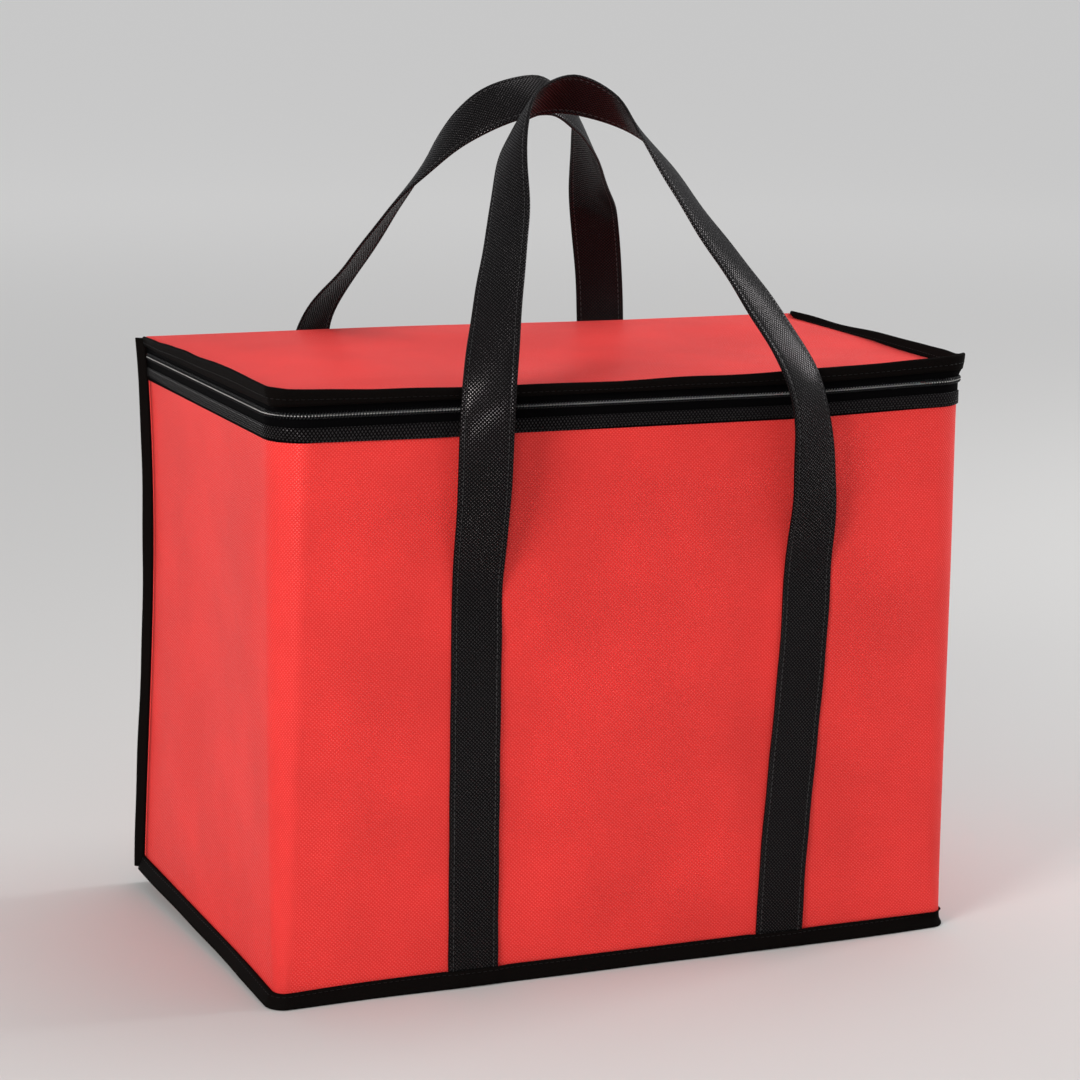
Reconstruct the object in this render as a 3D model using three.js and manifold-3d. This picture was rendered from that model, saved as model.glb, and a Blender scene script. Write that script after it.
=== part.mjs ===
// An insulated tote bag for food: padded walls of embossed fabric with a foil liner, a padded
// lid that folds back on its rear edge, a coil zip round three sides, and two webbing handles.
// Millimetres. X runs to the bag's right, the front faces -Y, Z is up, and the origin is the
// middle of the underside.
import * as THREE from 'three';
import { mergeVertices } from 'three/addons/utils/BufferGeometryUtils.js';
import Module from 'manifold-3d';

const wasm = await Module();
wasm.setup();

// Driving dimensions of the body.
const bagWidth = 410;
const bagDepth = 230;
const bagHeight = 330;
const mouthRadius = 18;
const baseRadius = 9;
const seamRadius = 0.6;

// Layers of a wall, from outside to inside.
const fabricThickness = 0.8;
const foamThickness = 3;
const linerThickness = 0.5;
const boardThickness = 2;
const layerGap = 0.3;

// Bindings and bands.
const baseBindingHeight = 9.3;
const baseBindingThickness = 1.6;
const baseBindingTurn = 7;
const baseBindingTurnThickness = 1.2;
const edgeBindingWidth = 2.5;
const edgeBindingThickness = 1.2;
const edgeFinLength = 5.5;
const edgeFinThickness = 2.4;
const lidBindingHeight = 6;
const lidBindingThickness = 2.4;
const lidBindingLean = 2.4;
const lidBindingEdge = 0.8;
const lidBindingTurn = 3;
const lidBindingTurnThickness = 1;
const mouthBandHeight = 12;
const mouthBandThickness = 0.8;
const bandHem = 1;

// The zip.
const zipWindow = 13;
const tapeThickness = 0.6;
const coilRowHeight = 2.15;
const coilThickness = 1.8;
const coilPitch = 4;
const coilWaistShare = 0.5;
const zipEndGap = 0.5;
const zipEndMargin = 2;

// The slider and its puller.
const sliderLength = 11;
const sliderNose = 1;
const sliderFlange = 1;
const sliderPlate = 1;
const sliderCornerRadius = 1.6;
const sliderPostWidth = 1;
const sliderPostLength = 3;
const sliderPostInset = 0.6;
const bridgeLength = 7.6;
const bridgeBar = 1.2;
const bridgeWindow = 2.3;
const bridgeCorner = 0.9;
const pullerEyeRadius = 1.3;
const pullerWall = 1;
const pullerEyeWidth = 1.6;
const pullerThickness = 1.2;
const pullerWidth = 5;
const pullerNeck = 4;
const pullerLength = 26;
const pullerHoleRadius = 1.2;

// The handles.
const strapWidth = 29;
const strapThickness = 1.6;
const strapSpacing = 197;
const strapSeamTop = 220;
const handleRise = 255;
const frontStrapShift = 8;
const backStrapShift = -11;
const frontRightLean = 10;

// Clearances, one overrun for joined solids, and the fineness of the curves.
const runningGap = 0.3;
const foldGap = 1.2;
const wallRelief = 6;
const linerRelief = 1;
const overrun = 0.4;
const cornerSteps = 6;
const finSteps = 4;
const handleSteps = 34;
const roundSteps = 10;

// The two sides of each handle, from its left foot to its right foot. Each row has the middle of
// the strap, along the spacing, inward over the lid and up, and the way its width points, along
// the spacing, outward and up. All are shares of the sizes that they follow.
const frontHandleShares = [
  [-1.00, 0.00, 0.00, 1.00, 0.00, 0.00],
  [-1.02, -0.12, 0.20, 1.00, 0.20, 0.00],
  [-1.02, -0.15, 0.42, 0.87, 0.48, 0.00],
  [-0.89, 0.05, 0.60, 0.70, 0.68, 0.22],
  [-0.71, 0.33, 0.75, 0.55, 0.75, 0.38],
  [-0.55, 0.61, 0.91, 0.20, 0.78, 0.59],
  [-0.38, 0.74, 0.98, 0.04, 0.72, 0.69],
  [-0.14, 0.79, 1.00, 0.00, 0.64, 0.77],
  [0.09, 0.70, 0.97, -0.20, 0.75, 0.63],
  [0.25, 0.56, 0.90, -0.60, 0.76, 0.26],
  [0.46, 0.31, 0.74, -0.76, 0.65, 0.09],
  [0.68, 0.06, 0.58, -0.84, 0.54, -0.04],
  [0.87, -0.14, 0.41, -0.88, 0.46, -0.11],
  [0.96, -0.12, 0.19, -0.98, 0.19, -0.06],
  [1.00, 0.00, 0.00, -1.00, 0.00, 0.00],
];
const backHandleShares = [
  [-1.00, 0.00, 0.00, 1.00, 0.00, 0.00],
  [-0.95, -0.12, 0.20, 1.00, 0.03, -0.04],
  [-0.89, -0.14, 0.43, 0.87, 0.50, -0.02],
  [-0.71, 0.09, 0.59, 0.76, 0.64, 0.14],
  [-0.53, 0.34, 0.75, 0.64, 0.72, 0.27],
  [-0.32, 0.60, 0.90, 0.14, 0.78, 0.61],
  [-0.12, 0.72, 0.96, -0.06, 0.70, 0.72],
  [0.15, 0.74, 0.98, -0.08, 0.69, 0.72],
  [0.36, 0.64, 0.94, -0.06, 0.66, 0.75],
  [0.53, 0.48, 0.89, -0.16, 0.68, 0.72],
  [0.74, 0.17, 0.76, -0.60, 0.69, 0.39],
  [0.88, -0.05, 0.66, -0.88, 0.46, 0.00],
  [0.99, -0.18, 0.50, -0.83, 0.55, -0.05],
  [1.01, -0.18, 0.34, -0.84, 0.54, -0.03],
  [1.00, -0.13, 0.20, -0.97, 0.24, 0.00],
  [1.00, 0.00, 0.00, -1.00, 0.00, 0.00],
];

// Distances outward from the face of the outer fabric.
const fabricIn = -fabricThickness;
const foamOut = fabricIn - layerGap;
const foamIn = foamOut - foamThickness;
const linerOut = foamIn - layerGap;
const linerIn = linerOut - linerThickness;
const tapeIn = layerGap;
const tapeOut = tapeIn + tapeThickness;
const bandIn = tapeOut + layerGap;
const bandOut = bandIn + mouthBandThickness;
const coilIn = tapeOut + layerGap;
const coilOut = coilIn + coilThickness;
const lidBindingIn = tapeOut + layerGap;
const lidBindingLowOut = lidBindingIn + lidBindingThickness;
const lidBindingTopOut = lidBindingLowOut + lidBindingLean;

// Heights.
const shellBottom = baseBindingTurnThickness + layerGap;
const baseFoamBottom = shellBottom + boardThickness + layerGap;
const wallFoamBottom = baseFoamBottom + foamThickness + layerGap;
const wallLinerBottom = wallFoamBottom + linerThickness + layerGap;
const lidBindingTurnZ = bagHeight - lidBindingTurnThickness;
const foldZ = lidBindingTurnZ - layerGap;
const lidFoamTop = foldZ - fabricThickness - layerGap;
const lidLinerTop = lidFoamTop - foamThickness - layerGap;
const lidUnderside = lidLinerTop - linerThickness;
const lidBindingLow = bagHeight - lidBindingHeight;
const mouthZ = lidBindingLow - zipWindow;
const coilGap = sliderPostWidth + 2 * runningGap;
const coilZ = mouthZ + zipWindow / 2;

// Where the zip and its bands stop beside the binding of the back edges.
const backY = bagDepth / 2;
const bandEndY = backY - edgeBindingWidth - zipEndGap;
const sliderRestY = bandEndY - zipEndMargin - sliderLength / 2;
const coilRightEndY = sliderRestY - sliderLength / 2 - runningGap;
const coilLeftEndY = bandEndY - zipEndMargin;

// Materials.
const paints = {
  red: new THREE.MeshStandardMaterial({ color: 0xe2362f, roughness: 0.55, metalness: 0 }),
  black: new THREE.MeshStandardMaterial({ color: 0x17161a, roughness: 0.6, metalness: 0 }),
  coil: new THREE.MeshStandardMaterial({ color: 0x1c1c20, roughness: 0.3, metalness: 0 }),
  enamel: new THREE.MeshStandardMaterial({ color: 0x202024, roughness: 0.35, metalness: 0.6 }),
  foam: new THREE.MeshStandardMaterial({ color: 0xf1efe8, roughness: 0.9, metalness: 0 }),
  foil: new THREE.MeshStandardMaterial({ color: 0xc9ccd0, roughness: 0.3, metalness: 0.8 }),
  board: new THREE.MeshStandardMaterial({ color: 0xb9b4a8, roughness: 0.8, metalness: 0 }),
};

// A closed geometry from points and triangles, turned so that its faces point outwards.
function closedGeometry(points, triangles) {
  let volume = 0;
  for (let i = 0; i < triangles.length; i += 3) {
    const [a, b, c] = [points[triangles[i]], points[triangles[i + 1]], points[triangles[i + 2]]];
    volume += a.dot(b.clone().cross(c));
  }
  if (volume < 0) {
    triangles.reverse();
  }
  const geometry = new THREE.BufferGeometry().setFromPoints(points);
  geometry.setIndex(triangles);
  geometry.computeVertexNormals();
  return geometry;
}

// Joins rings of points into a tube, with flat ends or closed on itself.
function skinRings(rings, closed) {
  const size = rings[0].length;
  const triangles = [];
  const last = closed ? rings.length : rings.length - 1;
  for (let k = 0; k < last; k += 1) {
    const next = (k + 1) % rings.length;
    for (let j = 0; j < size; j += 1) {
      const a = k * size + j;
      const b = k * size + ((j + 1) % size);
      const c = next * size + ((j + 1) % size);
      const d = next * size + j;
      triangles.push(a, b, c, a, c, d);
    }
  }
  return triangles;
}

// The flat end faces of a tube, from its section drawn in a plane.
function capRings(section, ringCount) {
  const faces = THREE.ShapeUtils.triangulateShape(section, []);
  const clockwise = THREE.ShapeUtils.area(section) < 0;
  const offset = (ringCount - 1) * section.length;
  const triangles = [];
  for (const face of faces) {
    const [a, b, c] = clockwise ? face : [face[2], face[1], face[0]];
    triangles.push(a, b, c, offset + c, offset + b, offset + a);
  }
  return triangles;
}

// The corner radius of the plan grows from the base to the mouth.
function radiusAt(z) {
  return baseRadius + (mouthRadius - baseRadius) * Math.min(z / mouthZ, 1);
}

// A point of the plan, at a distance outward from the fabric. A station is a stretch of the plan
// and a share of the way along it: left side, front-left corner, front, front-right corner,
// right side, back-right corner, back and back-left corner.
function planPoint(station, offset, z, leftY, rightY) {
  const front = Math.max(radiusAt(z) + offset, seamRadius);
  const back = seamRadius;
  const halfX = bagWidth / 2 + offset;
  const halfY = bagDepth / 2 + offset;
  const mix = THREE.MathUtils.lerp;
  const quarter = (station.share * Math.PI) / 2;
  const sine = Math.sin(quarter);
  const cosine = Math.cos(quarter);
  const spots = {
    left: () => [-halfX, mix(leftY ?? halfY - back, front - halfY, station.share)],
    frontLeft: () => [front - halfX - front * cosine, front - halfY - front * sine],
    front: () => [mix(front - halfX, halfX - front, station.share), -halfY],
    frontRight: () => [halfX - front + front * sine, front - halfY - front * cosine],
    right: () => [halfX, mix(front - halfY, rightY ?? halfY - back, station.share)],
    backRight: () => [halfX - back + back * cosine, halfY - back + back * sine],
    back: () => [mix(halfX - back, back - halfX, station.share), halfY],
    backLeft: () => [back - halfX - back * sine, halfY - back + back * cosine],
  };
  const [x, y] = spots[station.stretch]();
  return new THREE.Vector3(x, y, z);
}

// The stations of the open plan, which leaves out the back, with straight sides.
function openStations() {
  const stations = [{ stretch: 'left', share: 0 }];
  for (const stretch of ['frontLeft', 'frontRight']) {
    for (let i = 0; i <= cornerSteps; i += 1) {
      stations.push({ stretch, share: i / cornerSteps });
    }
  }
  stations.push({ stretch: 'right', share: 1 });
  return stations;
}

// The stations of the whole plan.
function loopStations() {
  const stations = [];
  for (const stretch of ['frontLeft', 'frontRight', 'backRight', 'backLeft']) {
    const steps = stretch.startsWith('front') ? cornerSteps : 1;
    for (let i = 0; i <= steps; i += 1) {
      stations.push({ stretch, share: i / steps });
    }
  }
  return stations;
}

// Stations at an even pitch along the open plan, two to each turn of the zip's coil.
function coilStations(offset) {
  const radius = radiusAt(mouthZ) + offset;
  const sideStart = radius - bagDepth / 2 - offset;
  const stretches = [
    ['left', coilLeftEndY - sideStart],
    ['frontLeft', (radius * Math.PI) / 2],
    ['front', bagWidth + 2 * (offset - radius)],
    ['frontRight', (radius * Math.PI) / 2],
    ['right', coilRightEndY - sideStart],
  ];
  const stations = [{ stretch: 'left', share: 0 }];
  for (const [stretch, length] of stretches) {
    const steps = 2 * Math.max(Math.round(length / coilPitch), 1);
    for (let i = 1; i <= steps; i += 1) {
      stations.push({ stretch, share: i / steps });
    }
  }
  return stations;
}

// Carries a section round the plan. The section gives rows of outward distance and height.
function sweepPlan(stations, sectionAt, { closed = false, leftY, rightY } = {}) {
  const rings = stations.map((station, k) => sectionAt(k).map(
    ([offset, z]) => planPoint(station, offset, z, leftY, rightY),
  ));
  const triangles = skinRings(rings, closed);
  if (!closed) {
    const section = sectionAt(0).map(([offset, z]) => new THREE.Vector2(offset, z));
    triangles.push(...capRings(section, rings.length));
  }
  return closedGeometry(rings.flat(), triangles);
}

// A flat-sided layer of the wall round the left, front and right.
function wallLayer(inner, outer, bottom, top, endY) {
  const section = [[inner, bottom], [outer, bottom], [outer, top], [inner, top]];
  return sweepPlan(openStations(), () => section, { leftY: endY, rightY: endY });
}

// A level panel with the plan's rounded front corners.
function levelPanel(offset, bottom, thickness, rearY) {
  const shape = new THREE.Shape();
  for (const stretch of ['frontLeft', 'frontRight']) {
    for (let i = 0; i <= cornerSteps; i += 1) {
      const spot = planPoint({ stretch, share: i / cornerSteps }, offset, bottom);
      if (stretch === 'frontLeft' && i === 0) {
        shape.moveTo(spot.x, spot.y);
      } else {
        shape.lineTo(spot.x, spot.y);
      }
    }
  }
  shape.lineTo(bagWidth / 2 + offset, rearY);
  shape.lineTo(-bagWidth / 2 - offset, rearY);
  shape.closePath();
  const geometry = new THREE.ExtrudeGeometry(shape, { depth: thickness, bevelEnabled: false });
  geometry.translate(0, 0, bottom);
  return geometry;
}

// A box between two corners.
function boxBetween(low, high) {
  const size = high.map((value, i) => value - low[i]);
  const geometry = new THREE.BoxGeometry(...size);
  geometry.translate(...low.map((value, i) => value + size[i] / 2));
  return geometry;
}

// An upright layer of the back wall.
function backLayer(inner, outer, halfWidth, bottom, top) {
  return boxBetween([-halfWidth, backY + inner, bottom], [halfWidth, backY + outer, top]);
}

// A merged solid that the boolean library can join and cut.
function toSolid(geometry) {
  const bare = geometry.clone();
  bare.deleteAttribute('normal');
  bare.deleteAttribute('uv');
  const merged = mergeVertices(bare);
  const vertProperties = new Float32Array(merged.attributes.position.array);
  const triVerts = new Uint32Array(merged.index.array);
  return new wasm.Manifold(new wasm.Mesh({ numProp: 3, vertProperties, triVerts }));
}

// The joined solid, back as a geometry.
function fromSolid(solid) {
  const mesh = solid.getMesh();
  const geometry = new THREE.BufferGeometry();
  geometry.setAttribute('position', new THREE.BufferAttribute(mesh.vertProperties, 3));
  geometry.setIndex(new THREE.BufferAttribute(mesh.triVerts, 1));
  geometry.computeVertexNormals();
  return geometry;
}

function joinSolids(geometries) {
  const solids = geometries.map(toSolid);
  return fromSolid(solids.reduce((sum, solid) => sum.add(solid)));
}

// A binding folded round one upright back edge, with the rounded fin of its seam pointing
// outwards from the corner.
function edgeBinding(side) {
  const inner = layerGap;
  const outer = layerGap + edgeBindingThickness;
  const reach = outer + edgeFinLength * Math.SQRT1_2;
  const half = (edgeFinThickness * Math.SQRT1_2) / 2;
  const root = outer - edgeFinThickness * Math.SQRT1_2;
  const section = new THREE.Shape();
  section.moveTo(inner, -edgeBindingWidth);
  section.lineTo(outer, -edgeBindingWidth);
  section.lineTo(outer, root);
  section.lineTo(reach + half, reach - half);
  section.absarc(reach, reach, edgeFinThickness / 2, -Math.PI / 4, (3 * Math.PI) / 4);
  section.lineTo(root, outer);
  section.lineTo(-edgeBindingWidth, outer);
  section.lineTo(-edgeBindingWidth, inner);
  section.lineTo(inner, inner);
  const shape = new THREE.Shape(section.getPoints(finSteps).map(
    ({ x, y }) => new THREE.Vector2(side * (bagWidth / 2 + x), backY + y),
  ));
  const bottom = baseBindingHeight + layerGap;
  const depth = foldZ - layerGap - bottom;
  const geometry = new THREE.ExtrudeGeometry(shape, { depth, bevelEnabled: false });
  geometry.translate(0, 0, bottom);
  return geometry;
}

// The binding that goes all round the base, folded under it.
function baseBinding() {
  const inner = layerGap;
  const outer = inner + baseBindingThickness;
  const section = [
    [-baseBindingTurn, 0], [outer, 0], [outer, baseBindingHeight],
    [inner, baseBindingHeight], [inner, baseBindingTurnThickness],
    [-baseBindingTurn, baseBindingTurnThickness],
  ];
  return sweepPlan(loopStations(), () => section, { closed: true });
}

// The binding of the lid's edge, which holds the seam of the lid and the upper tape. It leans
// outwards as it rises.
function lidBinding() {
  const section = [
    [-lidBindingTurn, lidBindingTurnZ], [lidBindingIn, lidBindingTurnZ],
    [lidBindingIn, lidBindingLow], [lidBindingLowOut, lidBindingLow],
    [lidBindingTopOut, bagHeight - lidBindingEdge], [lidBindingTopOut - lidBindingEdge, bagHeight],
    [-lidBindingTurn, bagHeight],
  ];
  return sweepPlan(openStations(), () => section, { leftY: bandEndY, rightY: bandEndY });
}

// One row of the zip's coil: a rib for each turn, drawn in between the ribs.
function coilRow(side) {
  const near = coilZ + (side * coilGap) / 2;
  const far = near + side * coilRowHeight;
  const waist = near + side * coilRowHeight * coilWaistShare;
  const rib = [[coilIn, near], [coilOut, near], [coilOut, far], [coilIn, far]];
  const crest = coilIn + coilThickness * coilWaistShare;
  const dip = [[coilIn, waist], [crest, waist], [crest, far], [coilIn, far]];
  const ends = { leftY: coilLeftEndY, rightY: coilRightEndY };
  return sweepPlan(coilStations(coilIn), (k) => (k % 2 ? rib : dip), ends);
}

// A strip of webbing sewn flat to the front or back, up to the seam that ends the sewn length.
// Its foot stands to the left of its top by the lean.
function sewnLeg(middle, side, lean) {
  const bottom = baseBindingHeight + layerGap;
  const half = strapWidth / 2;
  const outline = new THREE.Shape([
    new THREE.Vector2(middle - lean - half, bottom),
    new THREE.Vector2(middle - lean + half, bottom),
    new THREE.Vector2(middle + half, strapSeamTop),
    new THREE.Vector2(middle - half, strapSeamTop),
  ]);
  const leg = new THREE.ExtrudeGeometry(outline, { depth: strapThickness, bevelEnabled: false });
  leg.rotateX(Math.PI / 2);
  const near = backY + layerGap;
  leg.translate(0, side > 0 ? near + strapThickness : -near, 0);
  return leg;
}

// A handle: one strip of webbing that rises from two sewn legs and turns over at the top. The
// middle line and the way of the width are smooth curves through the rows of shares.
function handleStrap(shares, shift, side) {
  const footY = backY + layerGap + strapThickness / 2;
  const spots = shares.map(([along, inward, up]) => new THREE.Vector3(
    shift + (along * strapSpacing) / 2,
    side * (footY - inward * backY),
    strapSeamTop + layerGap + up * handleRise,
  ));
  const ways = shares.map(([, , , along, outward, up]) => (
    new THREE.Vector3(along, side * outward, up)
  ));
  const middle = new THREE.CatmullRomCurve3(spots);
  const width = new THREE.CatmullRomCurve3(ways);
  const rings = [];
  for (let k = 0; k <= handleSteps; k += 1) {
    const share = k / handleSteps;
    const centre = middle.getPoint(share);
    const forward = middle.getTangent(share);
    if (k === 0 || k === handleSteps) {
      forward.set(0, 0, k === 0 ? 1 : -1);
    }
    const across = width.getPoint(share);
    across.addScaledVector(forward, -across.dot(forward)).normalize();
    const through = new THREE.Vector3().crossVectors(forward, across);
    across.multiplyScalar(strapWidth / 2);
    through.multiplyScalar(strapThickness / 2);
    rings.push([
      centre.clone().add(across).add(through),
      centre.clone().sub(across).add(through),
      centre.clone().sub(across).sub(through),
      centre.clone().add(across).sub(through),
    ]);
  }
  const triangles = skinRings(rings, false);
  const last = (rings.length - 1) * rings[0].length;
  triangles.push(2, 1, 0, 3, 2, 0);
  triangles.push(last, last + 1, last + 2, last, last + 2, last + 3);
  return closedGeometry(rings.flat(), triangles);
}

// Sets a solid that was drawn along the zip, up, and outward on the right side of the bag.
function setOnZip(geometry) {
  const basis = new THREE.Matrix4().makeBasis(
    new THREE.Vector3(0, 1, 0),
    new THREE.Vector3(0, 0, 1),
    new THREE.Vector3(1, 0, 0),
  );
  geometry.applyMatrix4(basis);
  geometry.translate(bagWidth / 2, sliderRestY, coilZ);
  return geometry;
}

// The plate of the slider seen from outside: two lobes at the nose, narrower at the tail.
function sliderOutline() {
  const tail = coilGap / 2 + coilRowHeight + runningGap + sliderFlange;
  const nose = tail + sliderNose;
  const half = sliderLength / 2;
  const r = sliderCornerRadius;
  const shape = new THREE.Shape();
  shape.moveTo(-half + r, -tail);
  shape.lineTo(0, -tail);
  shape.quadraticCurveTo(half - r, -nose, half - r, -nose);
  shape.quadraticCurveTo(half, -nose, half, r - nose);
  shape.lineTo(half, nose - r);
  shape.quadraticCurveTo(half, nose, half - r, nose);
  shape.quadraticCurveTo(half - r, nose, 0, tail);
  shape.lineTo(-half + r, tail);
  shape.quadraticCurveTo(-half, tail, -half, tail - r);
  shape.lineTo(-half, r - tail);
  shape.quadraticCurveTo(-half, -tail, -half + r, -tail);
  return shape;
}

// The height of the slider's outer plate and of the bar that carries the puller.
const outerPlateIn = coilOut + runningGap;
const outerPlateOut = outerPlateIn + sliderPlate;
const barIn = outerPlateOut + bridgeWindow;
const barMiddle = barIn + bridgeBar / 2;

function zipSlider() {
  const steps = { curveSegments: 3, bevelEnabled: false };
  const plateShape = sliderOutline();
  const outerPlate = new THREE.ExtrudeGeometry(plateShape, { ...steps, depth: sliderPlate });
  outerPlate.translate(0, 0, outerPlateIn);
  const innerPlate = new THREE.ExtrudeGeometry(plateShape, { ...steps, depth: sliderPlate });
  innerPlate.translate(0, 0, tapeIn - runningGap - sliderPlate);

  const flangeIn = coilGap / 2 + coilRowHeight + runningGap;
  const flangeLow = tapeOut + runningGap;
  const half = sliderLength / 2 - sliderCornerRadius;
  const flanges = [-1, 1].map((side) => boxBetween(
    [-half, Math.min(side * flangeIn, side * (flangeIn + sliderFlange)), flangeLow],
    [half, Math.max(side * flangeIn, side * (flangeIn + sliderFlange)), outerPlateIn + overrun],
  ));

  const postEnd = sliderLength / 2 - sliderPostInset;
  const postShape = new THREE.Shape([
    new THREE.Vector2(postEnd - sliderPostLength, 0),
    new THREE.Vector2(postEnd - sliderPostLength / 2, -sliderPostWidth / 2),
    new THREE.Vector2(postEnd, -sliderPostWidth / 2),
    new THREE.Vector2(postEnd, sliderPostWidth / 2),
    new THREE.Vector2(postEnd - sliderPostLength / 2, sliderPostWidth / 2),
  ]);
  const postLow = tapeIn - runningGap - overrun;
  const postDepth = outerPlateIn + overrun - postLow;
  const post = new THREE.ExtrudeGeometry(postShape, { depth: postDepth, bevelEnabled: false });
  post.translate(0, 0, postLow);

  const end = bridgeLength / 2;
  const foot = outerPlateOut - overrun;
  const top = barIn + bridgeBar;
  const arch = new THREE.Shape();
  arch.moveTo(-end, foot);
  arch.lineTo(-end + bridgeBar, foot);
  arch.lineTo(-end + bridgeBar, barIn);
  arch.lineTo(end - bridgeBar, barIn);
  arch.lineTo(end - bridgeBar, foot);
  arch.lineTo(end, foot);
  arch.lineTo(end, top - bridgeCorner);
  arch.quadraticCurveTo(end, top, end - bridgeCorner, top);
  arch.lineTo(-end + bridgeCorner, top);
  arch.quadraticCurveTo(-end, top, -end, top - bridgeCorner);
  const bridge = new THREE.ExtrudeGeometry(arch, { ...steps, depth: bridgeBar });
  bridge.translate(0, 0, -bridgeBar / 2);
  bridge.rotateX(Math.PI / 2);
  return setOnZip(joinSolids([outerPlate, innerPlate, ...flanges, post, bridge]));
}

// The puller: an eye round the bridge's bar, a neck, and a tab with a hole for a cord.
function zipPuller() {
  const outer = pullerEyeRadius + pullerWall;
  const ring = new THREE.Shape().absarc(0, 0, outer, 0, 2 * Math.PI);
  ring.holes.push(new THREE.Path().absarc(0, 0, pullerEyeRadius, 0, 2 * Math.PI, true));
  const eye = new THREE.ExtrudeGeometry(
    ring,
    { depth: pullerEyeWidth, bevelEnabled: false, curveSegments: roundSteps },
  );
  eye.translate(0, 0, -pullerEyeWidth / 2);
  eye.rotateY(Math.PI / 2);
  eye.translate(0, 0, barMiddle);

  const neckTop = -pullerEyeRadius - pullerWall / 2;
  const neck = pullerEyeWidth / 2;
  const half = pullerWidth / 2;
  const low = half - pullerLength;
  const tabShape = new THREE.Shape();
  tabShape.moveTo(-neck, neckTop);
  tabShape.quadraticCurveTo(-neck, neckTop - pullerNeck / 2, -half, neckTop - pullerNeck);
  tabShape.lineTo(-half, low);
  tabShape.absarc(0, low, half, Math.PI, 2 * Math.PI);
  tabShape.lineTo(half, neckTop - pullerNeck);
  tabShape.quadraticCurveTo(neck, neckTop - pullerNeck / 2, neck, neckTop);
  tabShape.holes.push(new THREE.Path().absarc(0, low, pullerHoleRadius, 0, 2 * Math.PI, true));
  const tab = new THREE.ExtrudeGeometry(
    tabShape,
    { depth: pullerThickness, bevelEnabled: false, curveSegments: roundSteps / 2 },
  );
  tab.translate(0, 0, barMiddle - pullerThickness / 2);
  return setOnZip(joinSolids([eye, tab]));
}

function piece(name, geometry, paint) {
  const mesh = new THREE.Mesh(geometry, paint);
  mesh.name = name;
  return mesh;
}

const wallEndY = backY + foamOut;
const linerEndY = backY + linerOut;
const bandEnds = { leftY: bandEndY, rightY: bandEndY };

const body = new THREE.Group();
body.add(
  piece('base_outer', levelPanel(-baseBindingTurn - layerGap, 0, fabricThickness,
    backY - baseBindingTurn - layerGap), paints.red),
  piece('base_board', levelPanel(foamOut, shellBottom, boardThickness, wallEndY), paints.board),
  piece('base_foam', levelPanel(foamOut, baseFoamBottom, foamThickness, wallEndY), paints.foam),
  piece('base_liner', levelPanel(linerOut, wallFoamBottom, linerThickness, linerEndY), paints.foil),
  piece('wrap_outer', wallLayer(fabricIn, 0, shellBottom, mouthZ, wallEndY), paints.red),
  piece('wrap_foam', wallLayer(foamIn, foamOut, wallFoamBottom, mouthZ - wallRelief, wallEndY),
    paints.foam),
  piece('wrap_liner', wallLayer(linerIn, linerOut, wallLinerBottom, mouthZ - linerRelief,
    linerEndY), paints.foil),
  piece('back_outer', backLayer(fabricIn, 0, bagWidth / 2, shellBottom, foldZ), paints.red),
  piece('back_foam', backLayer(foamIn, foamOut, bagWidth / 2 + linerOut, wallFoamBottom,
    lidUnderside - layerGap), paints.foam),
  piece('back_liner', backLayer(linerIn, linerOut, bagWidth / 2 + linerIn - layerGap,
    wallLinerBottom, lidUnderside - layerGap), paints.foil),
  piece('bottom_binding', baseBinding(), paints.black),
  piece('back_left_binding', edgeBinding(-1), paints.black),
  piece('back_right_binding', edgeBinding(1), paints.black),
  piece('mouth_band', wallLayer(bandIn, bandOut, mouthZ - mouthBandHeight, mouthZ, bandEndY),
    paints.black),
  piece('zip_tape_lower', wallLayer(tapeIn, tapeOut, mouthZ - mouthBandHeight + bandHem,
    coilZ - coilGap / 2, bandEndY), paints.black),
  piece('zip_coil_lower', coilRow(-1), paints.coil),
);
for (const [face, side, shift] of [['front', -1, frontStrapShift], ['back', 1, backStrapShift]]) {
  for (const [hand, way] of [['left', -1], ['right', 1]]) {
    const middle = shift + (way * strapSpacing) / 2;
    const lean = face === 'front' && hand === 'right' ? frontRightLean : 0;
    body.add(piece(`${face}_strap_leg_${hand}`, sewnLeg(middle, side, lean), paints.black));
  }
}

const lid = new THREE.Group();
lid.add(
  piece('lid_outer', levelPanel(0, foldZ - fabricThickness, fabricThickness, backY - foldGap),
    paints.red),
  piece('lid_foam', levelPanel(foamOut, lidFoamTop - foamThickness, foamThickness,
    backY - foldGap), paints.foam),
  piece('lid_liner', levelPanel(foamOut, lidUnderside, linerThickness, backY - foldGap),
    paints.foil),
  piece('lid_binding', lidBinding(), paints.black),
  piece('zip_tape_upper', wallLayer(tapeIn, tapeOut, coilZ + coilGap / 2, foldZ, bandEndY),
    paints.black),
  piece('zip_coil_upper', coilRow(1), paints.coil),
);

const closure = new THREE.Group();
closure.add(
  piece('zip_slider', zipSlider(), paints.enamel),
  piece('zip_puller', zipPuller(), paints.enamel),
);

const handles = new THREE.Group();
handles.add(
  piece('front_handle', handleStrap(frontHandleShares, frontStrapShift, -1), paints.black),
  piece('back_handle', handleStrap(backHandleShares, backStrapShift, 1), paints.black),
);

const group = new THREE.Group();
group.add(body, lid, closure, handles);

export default group;
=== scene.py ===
# %% [markdown]
# An insulated tote is a box of soft sheets sewn together: embossed fabric outside, foam in the
# walls, foil inside, black tape folded over every seam, and webbing handles sewn down the front
# and back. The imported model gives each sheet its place. This lesson makes each one as cloth,
# tape or thread: a grid of points worked out by a formula, on the place that the frame gives.

import math

import bmesh
import bpy
import numpy as np
from mathutils import Matrix, Vector


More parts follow.
